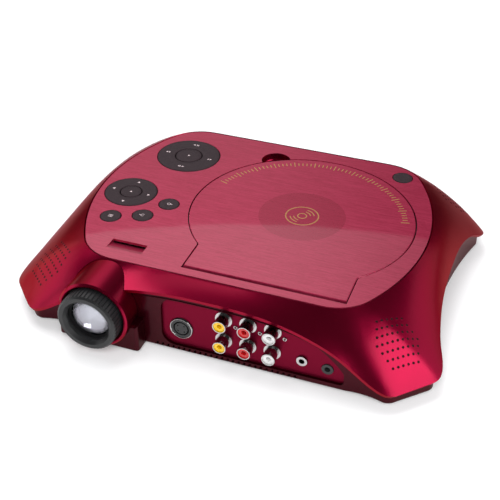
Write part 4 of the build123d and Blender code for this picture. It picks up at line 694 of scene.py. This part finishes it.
panel_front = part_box("jack_panel")[0][1]
DIN_RIM = 0.0074
din_low, din_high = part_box("din_socket")
din_centre = Vector(((din_low[0] + din_high[0]) / 2, din_low[1], (din_low[2] + din_high[2]) / 2))
ring_section = ((DIN_RIM - 0.0006, 0.0), (DIN_RIM - 0.0004, 0.0004), (DIN_RIM - 0.0001, 0.0004),
                (DIN_RIM + 0.0001, 0.0))
din_at = Matrix.Translation(din_centre) @ TOWARDS_FRONT
mesh_piece("din_socket_rim", lambda bm: revolve(bm, ring_section, din_at, 64), chrome, "housing")
EYELET = 0.0014
EYELET_RIGHT = 0.0072
EYELET_DROP = 0.0048
RCA_PITCH = 0.0155
RCA_HALF = 0.0054
jack_left = jack_low[0] + RCA_HALF
jack_top = jack_high[2] - RCA_HALF


def draw_eyelets(bm):
    """One eyelet to the lower right of each jack of the upper row."""
    section = ((EYELET * 0.45, -0.0004), (EYELET * 0.45, 0.0004), (EYELET * 0.75, 0.0007), (EYELET, 0.0004),
               (EYELET, -0.0004))
    for i in range(3):
        spot = Vector((jack_left + RCA_PITCH * i + EYELET_RIGHT, panel_front, jack_top - EYELET_DROP))
        revolve(bm, section, Matrix.Translation(spot) @ TOWARDS_FRONT, 24)


mesh_piece("jack_eyelets", draw_eyelets, chrome, "housing")

# ---------------------------------------------------------------- floor and light
# A white sweep under the projector inside a dark tent that only reflections see. Bright cards
# in it, behind for the deck and at both sides for the feet, draw the highlights, and area lamps
# light the rest softly.
FLOOR_HALF = 4.0
FLOOR_LEVEL = -0.0001
FLOOR_GLOW = 0.16
GLOW_RISE = (0.3, 0.85)
TENT_RADIUS = 3.2
CARD_REACH = 2.6
CARD_STEPS = 12
AIM = Vector((0.0, 0.0, 0.05))


floor_finish = Finish("white_sweep", (0.84, 0.84, 0.85), 0.3, Specular_IOR_Level=0.3, Emission_Strength=1.0)
# Its glow, for the camera, mirrors and glass alone, rises to full white where the lamps fall off.
camera_ray, glossy_ray, glass_ray = floor_finish.rays()
from_middle = floor_finish.node("ShaderNodeVectorMath", {"operation": "LENGTH"}, {0: floor_finish.place()},
                                "Value")
rise = floor_finish.node("ShaderNodeMapRange", {"clamp": True, "interpolation_type": "SMOOTHSTEP"},
                         {"Value": from_middle, "From Min": GLOW_RISE[0], "From Max": GLOW_RISE[1],
                          "To Min": FLOOR_GLOW, "To Max": 1.0})
glow = (camera_ray.most(glass_ray) * rise).most(glossy_ray * (FLOOR_GLOW * 0.5))
floor_finish.set(Emission_Color=floor_finish.blend(glow, (0.0, 0.0, 0.0), (1.0, 1.0, 1.0)))


def stage_plate(name, corners, finish):
    """A strip of four-sided faces between the two halves of a closed edge, kept as scenery."""
    mesh = bpy.data.meshes.new(name)
    last = len(corners) - 1
    mesh.from_pydata(corners, [], [(i, i + 1, last - i - 1, last - i) for i in range(len(corners) // 2 - 1)])
    mesh.materials.append(finish.material)
    plate = bpy.data.objects.new(name, mesh)
    bpy.context.scene.collection.objects.link(plate)
    return plate


floor_edge = ((-1, -1), (1, -1), (1, 1), (-1, 1))
stage_plate("floor", [(x * FLOOR_HALF, y * FLOOR_HALF, FLOOR_LEVEL) for x, y in floor_edge], floor_finish)


def direction(azimuth, elevation):
    """A unit vector: azimuth in degrees from +Y towards +X, elevation above the floor."""
    a, e = math.radians(azimuth), math.radians(elevation)
    return Vector((math.sin(a) * math.cos(e), math.cos(a) * math.cos(e), math.sin(e)))


def only_reflected(piece):
    piece.visible_camera = False
    piece.visible_diffuse = False
    piece.visible_shadow = False
    piece.visible_transmission = False


def bright_card(name, azimuths, elevations, strength, fade=None):
    """A glowing card between two azimuths and two elevations, seen in reflections only. It can
    fade between two values of X over Y."""
    finish = Finish(name, (0.0, 0.0, 0.0), 1.0, Specular_IOR_Level=0.0, Emission_Color=(1, 1, 1, 1),
                    Emission_Strength=strength)
    if fade:
        point = finish.node("ShaderNodeTexCoord", output="Object")
        x, y = [finish.node("ShaderNodeSeparateXYZ", None, {0: point}, k) for k in (0, 1)]
        share = finish.node("ShaderNodeMapRange", {"clamp": True, "interpolation_type": "SMOOTHSTEP"},
                            {"Value": x / y, "From Min": fade[0], "From Max": fade[1]})
        finish.set(Emission_Color=finish.blend(share, (1.0, 1.0, 1.0), (0.12, 0.12, 0.12)))
    steps = [azimuths[0] + (azimuths[1] - azimuths[0]) * i / CARD_STEPS for i in range(CARD_STEPS + 1)]
    edge = [(a, elevations[0]) for a in steps] + [(a, elevations[1]) for a in reversed(steps)]
    only_reflected(stage_plate(name, [AIM + CARD_REACH * direction(a, e) for a, e in edge], finish))


tent_finish = Finish("dark_tent", (0.0, 0.0, 0.0), 1.0, Specular_IOR_Level=0.0, Emission_Color=(1, 1, 1, 1),
                     Emission_Strength=0.05)
tent_mesh = bpy.data.meshes.new("dark_tent")
tent_bm = bmesh.new()
bmesh.ops.create_icosphere(tent_bm, subdivisions=3, radius=TENT_RADIUS)
tent_bm.to_mesh(tent_mesh)
tent_bm.free()
tent_mesh.materials.append(tent_finish.material)
tent = bpy.data.objects.new("dark_tent", tent_mesh)
bpy.context.scene.collection.objects.link(tent)
only_reflected(tent)
bright_card("card_rear", (-70.0, 25.0), (33.5, 60.0), 1.3, (-0.36, 0.1))
bright_card("card_rear_low", (-78.0, 10.0), (12.0, 33.5), 0.5, (-0.40, 0.0))
bright_card("card_left_high", (-98.0, -70.0), (38.0, 62.0), 3.4)
bright_card("card_left", (242.0, 296.0), (1.0, 26.0), 1.5)
bright_card("card_right", (84.0, 124.0), (14.0, 46.0), 3.4)
bright_card("card_right_rear", (36.0, 84.0), (4.0, 30.0), 0.9)


def soft_lamp(name, where, size, power):
    lamp_data = bpy.data.lights.new(name, "AREA")
    lamp_data.shape = "RECTANGLE"
    lamp_data.size, lamp_data.size_y = size
    lamp_data.energy = power
    lamp = bpy.data.objects.new(name, lamp_data)
    bpy.context.scene.collection.objects.link(lamp)
    lamp.location = where
    lamp.rotation_euler = (AIM - Vector(where)).to_track_quat("-Z", "Y").to_euler()
    lamp.visible_glossy = False
    return lamp


soft_lamp("lamp_front", (0.25, -1.05, 1.05), (0.8, 0.5), 14.0)
soft_lamp("lamp_top", (-0.30, 0.25, 1.35), (1.0, 0.8), 12.0)
soft_lamp("lamp_right", (1.1, -0.35, 0.45), (0.4, 0.5), 5.0)


class Sky(Finish):
    """The world, whose nodes are made like a finish's."""

    def __init__(self, name):
        self.world = bpy.data.worlds.new(name)
        self.world.use_nodes = True
        self.tree = self.world.node_tree
        self.shader = self.tree.nodes["Background"]


SKY_LIGHT = 0.35
sky = Sky("studio")
camera_ray, glossy_ray, glass_ray = sky.rays()
seen = camera_ray.most(glass_ray).most(glossy_ray)
sky.set(Color=(1.0, 1.0, 1.0, 1.0), Strength=seen * (1.0 - SKY_LIGHT) + SKY_LIGHT)
bpy.context.scene.world = sky.world
bpy.context.scene.view_settings.view_transform = "Standard"

# ---------------------------------------------------------------- camera
# It stands where the photograph was taken from, above the lens side and a little to the right.
EYE = Vector((0.177888, -0.516258, 0.402212))
RIGHT = Vector((0.94059378, 0.33940153, 0.00948403))
UP = Vector((-0.20158763, 0.53575354, 0.81995766))
BACK = Vector((0.27321378, -0.77315894, 0.5723456))
LENS_MM = 70.415
camera_data = bpy.data.cameras.new("camera")
camera_data.lens = LENS_MM
camera_data.sensor_width = 36.0
camera = bpy.data.objects.new("camera", camera_data)
bpy.context.scene.collection.objects.link(camera)
camera.matrix_world = Matrix.Translation(EYE) @ Matrix((RIGHT, UP, BACK)).transposed().to_4x4()
bpy.context.scene.camera = camera
